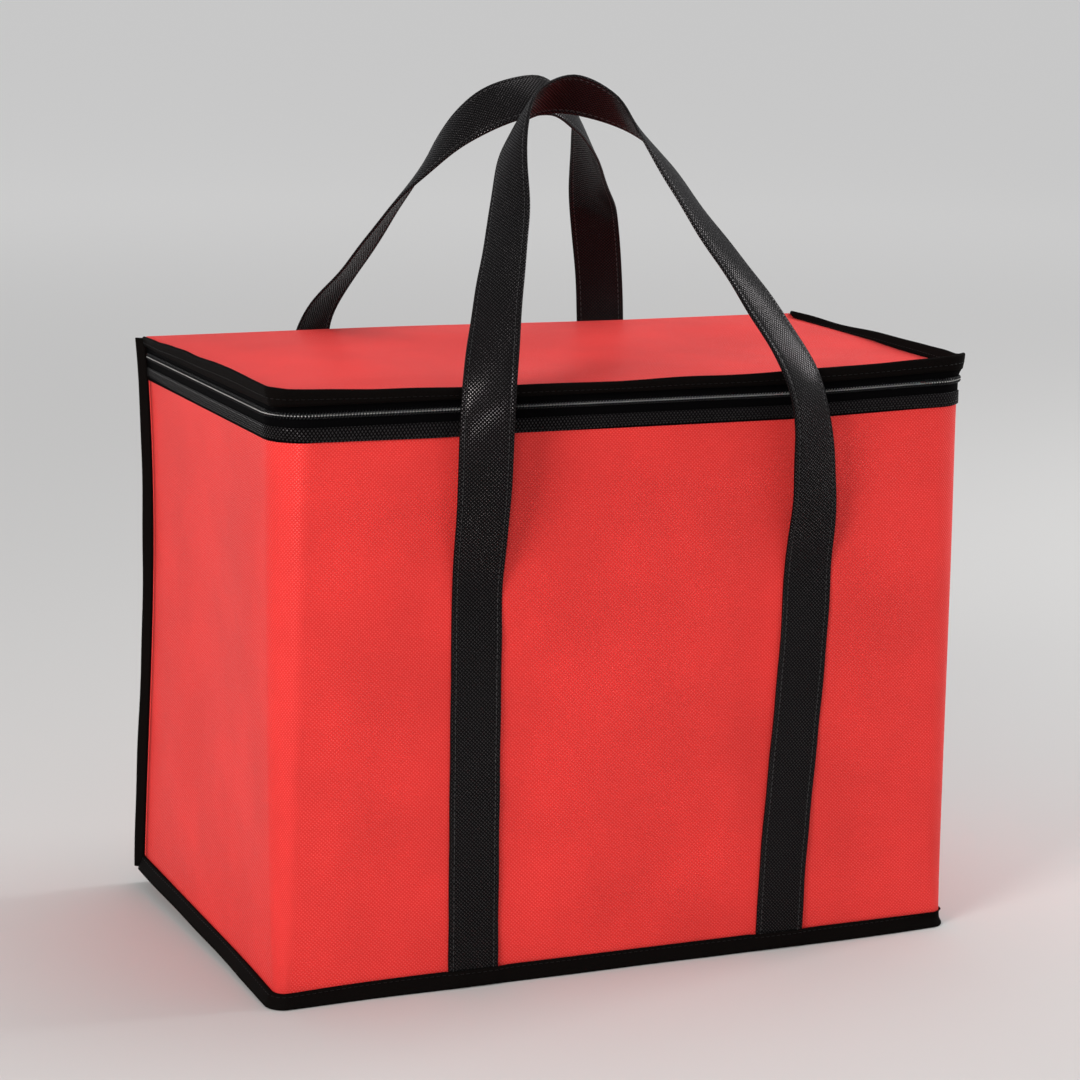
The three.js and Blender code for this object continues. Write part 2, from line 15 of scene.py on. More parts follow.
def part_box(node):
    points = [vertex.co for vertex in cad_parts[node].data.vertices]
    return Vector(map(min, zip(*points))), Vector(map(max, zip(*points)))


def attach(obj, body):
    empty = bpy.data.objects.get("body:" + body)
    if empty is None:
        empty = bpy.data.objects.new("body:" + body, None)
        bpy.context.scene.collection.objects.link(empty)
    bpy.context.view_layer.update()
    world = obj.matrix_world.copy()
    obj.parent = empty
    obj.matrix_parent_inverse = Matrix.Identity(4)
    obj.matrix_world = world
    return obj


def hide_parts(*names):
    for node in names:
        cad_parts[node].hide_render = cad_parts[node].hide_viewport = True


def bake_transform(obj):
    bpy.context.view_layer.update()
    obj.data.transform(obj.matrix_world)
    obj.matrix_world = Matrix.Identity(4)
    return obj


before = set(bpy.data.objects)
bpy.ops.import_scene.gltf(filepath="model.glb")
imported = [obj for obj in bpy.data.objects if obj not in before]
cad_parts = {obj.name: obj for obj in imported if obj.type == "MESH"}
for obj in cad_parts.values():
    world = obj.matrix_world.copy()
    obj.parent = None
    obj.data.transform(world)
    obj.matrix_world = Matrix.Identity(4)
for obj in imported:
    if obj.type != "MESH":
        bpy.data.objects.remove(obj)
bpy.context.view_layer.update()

# %% [markdown]
# Every size starts from the frame, so that a repacked bag still fits. A fabric's face is half
# the width or depth from the middle, and the levels of the mouth, the fold and the lid's edge
# are the tops and bottoms of the nodes that lie there.

# %% Sizes of the bag, from the frame
mm = 0.001
fabric_low, fabric_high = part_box("wrap_outer")
half_width = fabric_high.x
half_depth = -fabric_low.y
shell_z = fabric_low.z
mouth_z = fabric_high.z
fold_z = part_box("back_outer")[1].z
lid_top_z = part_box("lid_binding")[1].z
fin_low_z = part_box("lid_binding")[0].z
coil_z = (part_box("zip_coil_lower")[1].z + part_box("zip_coil_upper")[0].z) / 2
binding_top_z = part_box("bottom_binding")[1].z
seam_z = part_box("front_strap_leg_left")[1].z
print("half width, half depth, mouth, fold:", half_width, half_depth, mouth_z, fold_z)

# %% [markdown]
# The camera stands in front of the bag, to its left and a little above the lid, as far off as
# the photograph's flat perspective says. Three turns by its azimuth, elevation and roll aim it
# exactly, and the lens follows from the focal length in pixels.

# %% The camera
image_width = 1080
sensor_width = 36
focal_pixels = 3426.2
azimuth = math.radians(-22.64)
elevation = math.radians(11.70)
roll = math.radians(1.14)
camera_distance = 1.9616
look_at = Vector((-0.0063, 0, 0.2186))


def add_object(name, data):
    """An object in the scene, made from its data."""
    made = bpy.data.objects.new(name, data)
    bpy.context.scene.collection.objects.link(made)
    return made


camera_data = bpy.data.cameras.new("camera")
camera_data.sensor_width = sensor_width
camera_data.lens = focal_pixels / image_width * sensor_width
camera = add_object("camera", camera_data)
camera.matrix_world = (
    Matrix.Translation(look_at) @ Matrix.Rotation(azimuth, 4, "Z")
    @ Matrix.Rotation(math.pi / 2 - elevation, 4, "X") @ Matrix.Rotation(roll, 4, "Z")
    @ Matrix.Translation((0, 0, camera_distance)))
bpy.context.scene.camera = camera
bpy.context.scene.view_settings.view_transform = "Standard"
print("lens:", round(camera_data.lens, 1), "mm")

# %% [markdown]
# Every form is an array worked out by a formula, and a few short ones come back everywhere: a
# soft step, a soft hump, a table read with soft steps, and the distance walked along a line.

# %% Short formulas
def ease(value, start, stop):
    """A step that eases from 0 at start to 1 at stop: three t squared less two t cubed."""
    t = np.clip((value - start) / (stop - start), 0, 1)
    return t * t * (3 - 2 * t)


def bell(along, middle, spread):
    """A soft hump: e to the minus square of the distance over the spread."""
    return np.exp(-((along - middle) / spread) ** 2)


def from_table(value, rows):
    """The table's second column at a value of its first, eased from one row to the next."""
    places, levels = np.array(rows).T
    k = np.clip(np.searchsorted(places, value) - 1, 0, len(places) - 2)
    return levels[k] + (levels[k + 1] - levels[k]) * ease(value, places[k], places[k + 1])


def together(*parts):
    """Arrays that share a grid, stacked as the coordinates of its points."""
    return np.stack(np.broadcast_arrays(*parts), axis=-1)


def outward(angle, rise=0.0):
    """The direction that points out of the plan at an angle, with an upward part."""
    return together(np.cos(angle), np.sin(angle), rise)


def unit(vectors):
    """The same directions with a length of 1."""
    return vectors / np.linalg.norm(vectors, axis=-1, keepdims=True)


def walked(line, end=()):
    """The distance walked at each point of a line, and at further places after it."""
    steps = np.linalg.norm(np.diff(line, axis=0), axis=1)
    return np.concatenate([[0], np.cumsum(steps), end])


def resample(places, run, line):
    """The line's columns, read at other distances along it."""
    return np.stack([np.interp(places, run, column) for column in line.T], axis=1)


print("a soft step at a quarter:", ease(0.25, 0, 1))

# %% [markdown]
# Almost every piece here is a grid of points, rows by columns, computed as one array. This
# helper turns such a grid into a mesh. A tube is a grid that closes on itself, and its open ends
# get a pole each, so that the piece has an inside. Columns that run counter-clockwise round the
# bag and rows that rise give faces that point outwards.

# %% From a grid of points to a piece
def grid_faces(rows, columns, loop, ring):
    """The grid places of the four corners of each face."""
    i, j = np.meshgrid(np.arange(rows - (not ring)), np.arange(columns - (not loop)), indexing="ij")
    corners = [(i, j), (i, j + 1), (i + 1, j + 1), (i + 1, j)]
    return [(a.ravel(), b.ravel()) for a, b in corners]


def signed_volume(points, faces):
    """The volume inside the faces, negative where they point inwards: a sum of a . (b x c)."""
    a, b, c, d = (points[faces[:, k]] for k in (0, 1, 2, -1))
    return np.einsum("ij,ij->", a, np.cross(b, c) + np.cross(c, d)) / 6


def tube_ends(rows, columns, count):
    """Triangles that close a tube: each end's points run to a pole, and the two poles come
    after the tube's own points."""
    first = np.arange(rows) * columns
    after = np.roll(first, -1)
    start = np.stack([first, after, np.full(rows, count)], axis=1)
    end = np.stack([after, first, np.full(rows, count + 1)], axis=1)
    end[:, :2] += columns - 1
    return np.concatenate([start, end])


def build(name, points, quads, tris, quad_cloth, tri_cloth, material):
    """A smooth mesh object from points, faces and each corner's place on the flat cloth."""
    mesh = bpy.data.meshes.new(name)
    mesh.from_pydata(points.tolist(), [], quads.tolist() + tris.tolist())
    places = np.concatenate([quad_cloth.reshape(-1, 2), tri_cloth.reshape(-1, 2)])
    mesh.uv_layers.new(name="cloth").data.foreach_set("uv", places.astype(np.float32).ravel())
    mesh.shade_smooth()
    mesh.materials.append(material)
    return add_object(name, mesh)


def surface(name, points, cloth, material, loop=False, ring=False):
    """A piece from a grid of points. loop closes the columns, ring closes the rows, and a ring
    without a loop gets a pole at the middle of each end."""
    rows, columns = points.shape[:2]
    corners = grid_faces(rows, columns, loop, ring)
    quads = np.stack([(a % rows) * columns + b % columns for a, b in corners], axis=1)
    quad_cloth = np.stack([cloth[a, b] for a, b in corners], axis=1)
    flat = points.reshape(-1, 3)
    tris = np.empty((0, 3), int)
    tri_cloth = np.empty((0, 3, 2))
    if ring and not loop:
        tris = tube_ends(rows, columns, len(flat))
        flat = np.concatenate([flat, points[:, [0, -1]].mean(axis=0)])
        ends = [np.stack([cloth[:-1, k], cloth[1:, k], cloth[:-1, k]], axis=1) for k in (0, -1)]
        tri_cloth = np.concatenate(ends)
    parts = [quads, tris, quad_cloth, tri_cloth]
    if ring and signed_volume(flat, quads) + signed_volume(flat, tris) < 0:
        parts = [part[:, ::-1] for part in parts]
    return build(name, flat, *parts, material)


def thicken(piece, thickness):
    """A live Solidify modifier that adds the sheet's thickness on its inner side."""
    modifier = piece.modifiers.new("thickness", "SOLIDIFY")
    modifier.thickness = thickness
    modifier.offset = -1
    modifier.use_even_offset = True
    return piece


def on_body(piece, body, slot, *nodes):
    """The piece moves with a body, and the CAD nodes that it stands for are hidden; the slot is not used."""
    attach(piece, body)
    if nodes:
        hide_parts(*nodes)


print("helpers are ready")

# %% [markdown]
# Every finish is made of the same few shader parts, and each of those has a short helper. A
# pattern reads the piece's own map of the flat cloth, in metres, so an emboss or a weave keeps
# its real pitch and follows every fold.

# %% Helpers for materials
def node(tree, kind, settings=(), **inputs):
    """A shader node with settings, and with inputs given as numbers, colours or sockets."""
    made = tree.nodes.new("ShaderNode" + kind)
    for key, value in dict(settings).items():
        setattr(made, key, value)
    for key, value in inputs.items():
        socket = made.inputs[int(key[1:])] if key[1:].isdigit() else made.inputs[key.replace("_", " ")]
        if isinstance(value, bpy.types.NodeSocket):
            tree.links.new(value, socket)
        else:
            socket.default_value = value
    return made


def calc(tree, operation, a, b=0.0, c=0.0):
    """One sum of up to three numbers or sockets."""
    return node(tree, "Math", {"operation": operation}, i0=a, i1=b, i2=c).outputs[0]


def ramp(tree, value, low, high, out_low, out_high):
    """Maps a value from one range to another with soft ends."""
    settings = {"interpolation_type": "SMOOTHSTEP", "clamp": True}
    made = node(tree, "MapRange", settings, i0=value, i1=low, i2=high, i3=out_low, i4=out_high)
    return made.outputs[0]


def blend_colours(tree, share, a, b):
    """Two colours mixed by a share. Each is a socket or three numbers."""
    a, b = ((*colour, 1) if isinstance(colour, tuple) else colour for colour in (a, b))
    return node(tree, "Mix", {"data_type": "RGBA"}, i0=share, i6=a, i7=b).outputs[2]


def new_material(name, **levels):
    """A material with one Principled shader whose inputs have plain levels, and its tree."""
    material = bpy.data.materials.new(name)
    material.use_nodes = True
    shader = material.node_tree.nodes["Principled BSDF"]
    for key, value in levels.items():
        shader.inputs[key.replace("_", " ")].default_value = value
    return material, material.node_tree


def cloth_place(tree, turn=0.0, stretch=(1, 1, 1)):
    """The place on the flat cloth, turned and stretched."""
    place = node(tree, "UVMap", {"uv_map": "cloth"}).outputs[0]
    return node(tree, "Mapping", Vector=place, Rotation=(0, 0, turn), Scale=stretch).outputs[0]


def noise(tree, place, scale, detail=2.0, roughness=0.5):
    """A soft random field over a place."""
    made = node(tree, "TexNoise", Vector=place, Scale=scale, Detail=detail, Roughness=roughness)
    return made.outputs[0]


def finished(material, bumps=(), **links):
    """The material with sockets linked to its shader, and with bumps stacked on it, each a
    height, a depth in metres and a strength."""
    tree = material.node_tree
    for height, depth, strength in bumps:
        below = {"Normal": links["Normal"]} if "Normal" in links else {}
        bump = node(tree, "Bump", Strength=strength, Distance=depth, Height=height, **below)
        links["Normal"] = bump.outputs[0]
    for key, socket in links.items():
        tree.links.new(socket, tree.nodes["Principled BSDF"].inputs[key.replace("_", " ")])
    return material


print("shader helpers are ready")

# %% [markdown]
# The red cloth is spunbonded: fine fibres pressed together at small square points. The points are melted to
# a smooth skin that glints, and their lighter colour is partly a painted glint; the ground between them is
# matt, and the rows of points run at 45 degrees. A lattice of cells gives the distance to each point, and
# noise over the cloth adds the fibres and a faint unevenness of the dye.

# %% The embossed cloth
emboss_pitch = 1.45 * mm
emboss_depth = 0.26 * mm
fibre_depth = 0.05 * mm
fibre_scale = 2600
dye_scale = 14


def embossed(name, dark, light, point, sheen, shine, skin, gloss, ground):
    """Spunbonded cloth: a turned square lattice of pressed points, with fibres between them. The points get
    a lighter colour, which is partly a painted glint, a share of metal for the glint of their skin, and a
    gloss."""
    material, tree = new_material(
        name, Sheen_Weight=sheen, Sheen_Roughness=0.45, Specular_IOR_Level=shine)
    lattice = cloth_place(tree, math.pi / 4)
    cells = node(
        tree, "TexVoronoi", {"voronoi_dimensions": "2D", "distance": "CHEBYCHEV"},
        Vector=lattice, Scale=1 / emboss_pitch, Randomness=0.07).outputs["Distance"]
    pressed = ramp(tree, cells, 0.2, 0.34, 1.0, 0.0)
    plain = cloth_place(tree)
    fibres = noise(tree, plain, fibre_scale, 3, 0.6)
    dye = noise(tree, plain, dye_scale, 3, 0.55)
    # The pressed points take a lighter colour, partly a painted glint.
    body = blend_colours(tree, pressed, blend_colours(tree, fibres, dark, light), point)
    uneven = ramp(tree, dye, 0.3, 0.7, 0.93, 1.05)
    tinted = node(tree, "VectorMath", {"operation": "SCALE"}, i0=body, i3=uneven).outputs[0]
    worn = calc(tree, "MULTIPLY_ADD", fibres, 0.12, ground - 0.06)
    rough = calc(tree, "MULTIPLY_ADD", pressed, gloss - ground, worn)
    sunk = calc(tree, "MULTIPLY", pressed, -1.0)
    loose = calc(tree, "MULTIPLY", fibres, calc(tree, "MULTIPLY_ADD", pressed, -0.85, 1.0))
    return finished(
        material, [(sunk, emboss_depth, 0.9), (loose, fibre_depth, 0.5)],
        Base_Color=tinted, Roughness=rough, Metallic=calc(tree, "MULTIPLY", pressed, skin))


# The third colour of each cloth is its points' lighter colour, partly a painted glint.
red_cloth = embossed(
    "red_embossed_cloth", (0.70, 0.020, 0.018), (0.90, 0.036, 0.031), (0.90, 0.085, 0.075),
    sheen=0.01, shine=0.22, skin=0.28, gloss=0.3, ground=0.75)
black_ground = (0.001, 0.0008, 0.0009), (0.003, 0.0024, 0.0027)
black_cloth = embossed(
    "black_embossed_cloth", *black_ground, (0.036, 0.033, 0.034),
    sheen=0, shine=0.02, skin=0.5, gloss=0.24, ground=0.85)
strap_cloth = embossed(
    "black_strap_cloth", *black_ground, (0.046, 0.042, 0.043),
    sheen=0, shine=0.04, skin=0.9, gloss=0.23, ground=0.58)
print("materials:", len(bpy.data.materials))

# %% [markdown]
# Binding and zip tapes are narrow woven goods. Their weave is finer than the emboss: warp ribs
# along the tape crossed by weft. Two sine waves at right angles make it, and the tape's own map
# keeps it running along the tape.

# %% Woven tape
weave_depth = 0.1 * mm
lint_depth = 0.06 * mm


def woven(name, dark, light, pitch, rough):
    """A plain weave: the product of two sine waves along and across the tape."""
    material, tree = new_material(name, Specular_IOR_Level=0.005)
    place = cloth_place(tree, 0, (2 * math.pi / pitch, 2 * math.pi / pitch, 1))
    parts = node(tree, "SeparateXYZ", Vector=place).outputs
    waves = [calc(tree, "SINE", parts[k]) for k in (0, 1)]
    weave = calc(tree, "MULTIPLY_ADD", calc(tree, "MULTIPLY", *waves), 0.5, 0.5)
    lint = noise(tree, cloth_place(tree), 900, 3, 0.6)
    share = calc(tree, "MULTIPLY_ADD", weave, 0.5, calc(tree, "MULTIPLY", lint, 0.5))
    return finished(
        material, [(weave, weave_depth, 0.6), (lint, lint_depth, 0.4)],
        Base_Color=blend_colours(tree, share, dark, light),
        Roughness=calc(tree, "MULTIPLY_ADD", lint, 0.2, rough - 0.1))


binding_cloth = woven(
    "black_binding_tape", (0.0015, 0.0012, 0.0012), (0.007, 0.0055, 0.005), pitch=0.7 * mm, rough=0.5)
tape_cloth = woven(
    "black_zip_tape", (0.0008, 0.0008, 0.0009), (0.003, 0.0027, 0.003), pitch=0.5 * mm, rough=0.6)
print("tapes: 2")

# %% [markdown]
# Thread is spun and slightly glossy, so on black webbing each stitch shows as a small bright
# fleck. A twist pattern across the thread's length is enough at this size.

# %% Thread
twist_pitch = 0.5 * mm
twist_depth = 0.05 * mm
twist_angle = 0.6


def spun_thread(name, colour, rough, shine):
    """A twisted yarn: a sine wave along the thread on a soft glossy ground."""
    material, tree = new_material(name, Roughness=rough, Specular_IOR_Level=shine)
    place = cloth_place(tree, twist_angle, (2 * math.pi / twist_pitch, 2 * math.pi / twist_pitch, 1))
    twist = calc(tree, "SINE", node(tree, "SeparateXYZ", Vector=place).outputs[0])
    share = calc(tree, "MULTIPLY_ADD", twist, 0.3, 0.5)
    darker = tuple(0.5 * c for c in colour)
    return finished(
        material, [(twist, twist_depth, 0.5)], Base_Color=blend_colours(tree, share, darker, colour))


strap_thread = spun_thread("strap_thread", (0.035, 0.032, 0.033), rough=0.3, shine=0.4)
seam_thread = spun_thread("seam_thread", (0.006, 0.005, 0.005), rough=0.5, shine=0.15)
print("threads: 2")

# %% [markdown]
# The plan of the bag is a rectangle with two soft front corners and two sharp back ones. A place
# on it is a distance along its edge, so every layer, band and coil can be laid round the bag by
# the same function. The front corners are tight at the base and open towards the mouth, and on
# the lid the binding turns the left one sharply again.

# %% The plan
base_radius = 5 * mm
mouth_radius = 20 * mm
back_radius = 1.5 * mm
lid_left_radius = 4 * mm
lid_right_radius = 14 * mm
least_radius = 0.2 * mm
lid_turn_band = (coil_z + 2 * mm, fin_low_z - 1.2 * mm)
side_length = 2 * half_depth - mouth_radius - back_radius
front_length = 2 * half_width - 2 * mouth_radius
back_length = 2 * half_width - 2 * back_radius
stretches = np.array([
    side_length, mouth_radius * math.pi / 2, front_length, mouth_radius * math.pi / 2,
    side_length, back_radius * math.pi / 2, back_length, back_radius * math.pi / 2,
])
starts = np.concatenate([[0], np.cumsum(stretches)])
around = starts[-1]
open_end = starts[5]
front_left_s = (starts[1] + starts[2]) / 2
front_right_s = (starts[3] + starts[4]) / 2


def plan(along, offset, z):
    """The point at a distance along the plan, an offset outward from the cloth and a height.
    Each straight adds its length times the share walked, and each corner adds its radius
    times one less the cosine, or the sine, of the angle turned. Returns points and the
    outward angle."""
    along, offset, z = np.broadcast_arrays(along, offset, z)
    shares = [np.clip((along - starts[k]) / stretches[k], 0, 1) for k in range(8)]
    left, corner_1, front, corner_2, right, corner_3, back, corner_4 = shares
    q1, q2, q3, q4 = (part * math.pi / 2 for part in (corner_1, corner_2, corner_3, corner_4))
    high = np.sqrt(np.clip(z / mouth_z, 0, 1))
    over_zip = ease(z, *lid_turn_band)
    r = base_radius + (mouth_radius - base_radius) * high + offset
    r1 = r - (mouth_radius - lid_left_radius) * over_zip
    r2 = r - (mouth_radius - lid_right_radius) * over_zip
    b = np.maximum(back_radius + offset, least_radius)
    wide = half_width + offset
    deep = half_depth + offset
    x = (-wide + r1 * (1 - np.cos(q1)) + (2 * wide - r1 - r2) * front + r2 * np.sin(q2)
         - b * (1 - np.cos(q3)) - 2 * (wide - b) * back - b * np.sin(q4))
    y = ((deep - b) - (2 * deep - r1 - b) * left - r1 * np.sin(q1) + r2 * (1 - np.cos(q2))
         + (2 * deep - r2 - b) * right + b * np.sin(q3) - b * (1 - np.cos(q4)))
    angle = math.pi + q1 + q2 + q3 + q4
    return np.stack([x, y, z], axis=-1), angle


def stations(start, stop, step, corner_step=1.5 * mm):
    """Distances along the plan, with closer ones round the corners."""
    inner = [s for s in starts[1:8] if start < s < stop]
    ends = [start, *inner, stop]
    parts = []
    for a, b in zip(ends, ends[1:]):
        turning = np.searchsorted(starts, (a + b) / 2) % 2 == 0
        count = max(1, math.ceil((b - a) / (corner_step if turning else step)))
        parts.append(np.linspace(a, b, count, endpoint=False))
    return np.concatenate([*parts, [stop]])


print("round the plan:", round(around, 3), "m")

# %% [markdown]
# No sewn bag is a true box. Its corners lean by a few millimetres, its walls dent between the
# straps, and its lid sinks to the front. One smooth displacement of space does this for every
# soft piece, so that the layers move together and never pass through each other. It fades out
# along the zip on the right side, where the slider has to run.

# %% How the soft pieces settle
corner_leans = {
    (0, 0, 0): (-3.2, 0.0, 9.0), (0, 1, 0): (2.0, -6.0, 0.0), (1, 1, 0): (-1.0, 3.0, 0.0),
    (0, 0, 1): (-1.2, 0.0, -1.0), (0, 1, 1): (2.6, 0.0, 0.5),
}
dent_start = (binding_top_z, 0.05)
dent_stop = (0.255, mouth_z - 0.012)
wall_edge = 8 * mm
wall_depth = 24 * mm
front_band = (half_depth - 24 * mm, half_depth - 4 * mm)
right_band = (half_width - 32 * mm, half_width - 6 * mm)
mouth_share = (0.6, 0.92)
zip_band = (coil_z + 2.5 * mm, coil_z + 6.5 * mm)
edge_bow = 4.2 * mm
corner_tuck = 0.7 * mm
corner_lift = 2.6 * mm
fold_sag = 1.8 * mm
front_dents = [
    (-0.155, 0.170, 0.030, 0.090, 1.6), (0.010, 0.185, 0.055, 0.070, 2.2),
    (-0.060, 0.110, 0.018, 0.080, -1.6), (0.080, 0.170, 0.020, 0.090, -2.0),
    (0.155, 0.190, 0.028, 0.080, 1.2), (0.035, 0.062, 0.028, 0.022, -1.8),
    (0.066, 0.085, 0.012, 0.030, 1.3), (-0.030, 0.050, 0.030, 0.030, 1.2),
    (0.150, 0.060, 0.030, 0.030, -0.8), (-0.130, 0.045, 0.022, 0.035, -0.9),
]
side_dents = [
    (0.010, 0.170, 0.060, 0.080, -2.6), (-0.060, 0.230, 0.030, 0.050, 1.2),
    (0.060, 0.090, 0.030, 0.050, 1.5), (-0.050, 0.070, 0.030, 0.040, -1.0),
]


def dents(rows, a, z):
    """A sum of soft bells, each with its place, its spread and its height."""
    total = np.zeros_like(a)
    for place_a, place_z, spread_a, spread_z, rise in rows:
        total += rise * mm * bell(a, place_a, spread_a) * bell(z, place_z, spread_z)
    return total


def bulge(points):
    """How far each wall stands out or sinks in, near that wall and away from its edges. A wall
    and the one across from it have the same dents, turned half round the bag."""
    z = points[..., 2]
    upright = ease(z, *dent_start) * (1 - ease(z, *dent_stop))
    moved = np.zeros_like(points)
    for axis, rows, reach, span, fade in (
            (1, front_dents, half_depth, half_width, 45 * mm),
            (0, side_dents, half_width, half_depth, 40 * mm)):
        across, out = points[..., 1 - axis], points[..., axis]
        inside = upright * ease(span - np.abs(across), wall_edge, fade)
        for side in (-1, 1):
            near = ease(side * out, reach - wall_depth, reach - wall_depth / 2)
            moved[..., axis] += side * inside * near * dents(rows, -side * across, z)
    return moved


def leaning(points):
    """Each corner of the box has its lean, and a point between them takes its shares. The back
    left edge bows inward by a sine of its height, the front right corner of the mouth is drawn
    in and up, and the fold sags towards the right."""
    share_x = np.clip(0.5 + points[..., 0] / (2 * half_width), 0, 1)
    share_y = np.clip(0.5 - points[..., 1] / (2 * half_depth), 0, 1)
    share_z = np.clip(points[..., 2] / fold_z, 0, 1)
    moved = np.zeros_like(points)
    for (i, j, k), lean in corner_leans.items():
        weight = (share_x if i else 1 - share_x) * (share_y if j else 1 - share_y)
        weight = weight * (share_z if k else (1 - share_z) ** 2)
        if not (i or j or k):
            weight = weight * (1 - share_x)
        moved += weight[..., None] * np.array(lean) * mm
    moved[..., 0] += edge_bow * (1 - share_x) ** 2 * (1 - share_y) * np.sin(math.pi * share_z ** 1.5)
    at_front = ease(-points[..., 1], *front_band)
    near_mouth = ease(share_z, *mouth_share)
    at_right = ease(points[..., 0], *right_band)
    moved[..., 0] -= corner_tuck * at_front * at_right * near_mouth
    moved[..., 2] += corner_lift * at_front * near_mouth * ease(share_x, 0.7, 1.0)
    over_zip = ease(points[..., 2], *zip_band)
    moved[..., 2] -= fold_sag * over_zip * (1 - share_y) * ease(share_x, 0.3, 0.75)
    return moved


def settle(points):
    """The points of a soft piece after the bag has settled."""
    return points + bulge(points) + leaning(points)


print("dents:", len(front_dents), "front,", len(side_dents), "side")

# %% [markdown]
# The wrap is one length of red cloth that goes round the left side, the front and the right
# side. On the grid its columns are stations round the plan and its rows are heights. The real
# cloth is 0.8 mm thick with its lamination, which a live Solidify modifier adds inwards.

# %% The red wrap
fabric_thickness = 0.8 * mm
cloth_step = 5 * mm
wrap_end = 0.5 * mm


def flat_map(columns, rows):
    """The place on the flat cloth: the distance along it and the distance up it."""
    return np.stack(np.meshgrid(columns, rows), axis=-1)


wrap_along = stations(wrap_end, open_end - wrap_end, cloth_step)
wrap_rise = np.linspace(shell_z, mouth_z, 70)
wrap_points, _ = plan(wrap_along[None, :], 0.0, wrap_rise[:, None])
wrap = surface("red_wrap", settle(wrap_points), flat_map(wrap_along, wrap_rise), red_cloth)
thicken(wrap, fabric_thickness)
on_body(wrap, "root", "red_fabric", "wrap_outer")
print("wrap faces:", len(wrap.data.polygons))

# %% [markdown]
# The back and the lid are one cloth too: it runs up the back, over a soft fold and forward to the lid's
# front edge, where its corners are cut round. The fold is the lid's hinge, and the piece is a single sheet
# across it, attached to neither the body nor the lid.

# %% The red back and lid
fold_radius = 2.2 * mm
lid_slope = 4.2 * mm
lid_slope_run = 0.16
right_relief = 0.2
relief_start = 0.08
lid_crown = 2.0 * mm
crown_edges = (0.07, 0.06)
crown_wave = 0.6
lid_tuck = 0.9 * mm
lid_edge_share = 0.8
lid_edge_width = 16 * mm
fold_corner = np.array([0, half_depth, fold_z])


def lid_dip(points):
    """How a lid layer moves from its flat place: down a slope from the fold to the front, and up
    by a padded crown in its middle with two faint waves across it. The right edge goes down to
    the seam of the fin along its whole length, and the slope is a little less there."""
    x, y = points[..., 0], points[..., 1]
    at_edge = lid_edge_share * ease(x, half_width - lid_edge_width, half_width)
    share = np.maximum(ease(half_depth - y, 0, lid_slope_run), at_edge)
    slope = lid_slope * share * (1 - right_relief * ease(x, relief_start, half_width))
    to_sides, to_ends = half_width - np.abs(x), half_depth - np.abs(y)
    inside = ease(to_sides, 0, crown_edges[0]) * ease(to_ends, 0, crown_edges[1])
    crown = lid_crown * inside * (1 + crown_wave * np.sin(34 * x + 6) * np.cos(26 * y))
    return together(0, 0, crown - slope)


def lid_half_width(y, offset, radius):
    """Half the lid's width at a depth: full, and round the circle of the front corners."""
    short = np.clip(radius - half_depth - y - offset, 0, radius)
    return half_width + offset - radius + np.sqrt(radius ** 2 - short ** 2)


back_rise = np.linspace(shell_z, fold_z - fold_radius, 68)
turn = np.linspace(0, math.pi / 2, 8)[1:-1]
lid_front = -half_depth - lid_tuck
lid_back = half_depth - fold_radius
lid_depth = lid_back + (lid_front - lid_back) * np.sin(np.linspace(0, math.pi / 2, 60))
run = np.concatenate([
    together(half_depth, back_rise),
    together(half_depth - fold_radius * (1 - np.cos(turn)), fold_z - fold_radius * (1 - np.sin(turn))),
    together(lid_depth, fold_z),
])
run_y, run_z = run.T
run_length = walked(run)
on_lid = ease(fold_corner[1] - run_y, 0, 10 * mm)
across_share = np.linspace(1, -1, 84)
corner_radius = np.where(across_share > 0, lid_right_radius + 3 * mm, lid_left_radius) + lid_tuck
half_run = np.where(
    run_y[:, None] < 0, lid_half_width(run_y[:, None], lid_tuck, corner_radius),
    half_width + lid_tuck * on_lid[:, None])
panel = together(half_run * across_share, run_y[:, None], run_z[:, None])
panel = panel + lid_dip(panel) * on_lid[:, None, None]
panel_map = together(half_run * across_share, run_length[:, None])
back_lid = surface("red_back_and_lid", settle(panel), panel_map, red_cloth)
thicken(back_lid, fabric_thickness)
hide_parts("back_outer", "lid_outer")
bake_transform(back_lid)
print("back and lid:", round(run_length[-1], 3), "m long")

# %% [markdown]
# A black tape is folded over the seam round the base. Seen from the side it leans outwards, so
# its lower edge catches the light, and it swells a little where it passes over the ends of the
# straps. At the front left corner it is lower and fuller, and at the front right it lies flush.
# The section is a short list of offsets and heights, carried all round the plan.

# %% The binding of the base
strap_width = 29 * mm
strap_thickness = 1.6 * mm
strap_gap = 0.3 * mm
strap_half_spacing = 98.5 * mm
front_shift = 8 * mm
back_shift = -11 * mm
front_right_lean = 10 * mm
base_section = np.array([
    (-7.0, 0.2), (0.6, 0.0), (3.4, 0.1), (4.3, 0.5), (4.5, 1.3), (3.6, 3.4), (2.7, 5.8), (2.1, 7.8),
    (1.8, 8.8), (1.3, 9.3), (0.7, 9.3), (0.3, 8.8), (0.3, 5.0), (0.3, 1.8), (-1.0, 1.3), (-7.0, 1.3),
]) * mm
base_girth = 0.03
base_ripple = 0.35 * mm
left_spread = 0.04
left_drop = 0.18
left_swell = 1.2 * mm
right_spread = 0.03
right_flush = 3.2 * mm
strap_feet = [
    (-1, front_shift - strap_half_spacing), (-1, front_shift + strap_half_spacing - front_right_lean),
    (1, back_shift - strap_half_spacing), (1, back_shift + strap_half_spacing),
]


def over_straps(points):
    """1 where a point of the binding lies on a strap's foot, 0 away from it, soft between."""
    x, y = points[..., 0], points[..., 1]
    reach = strap_width / 2
    total = np.zeros_like(x)
    for side, foot in strap_feet:
        total += (side * y > 0) * (1 - ease(np.abs(x - foot), reach - 1 * mm, reach + 4 * mm))
    return total * (np.abs(x) < half_width - 12 * mm)


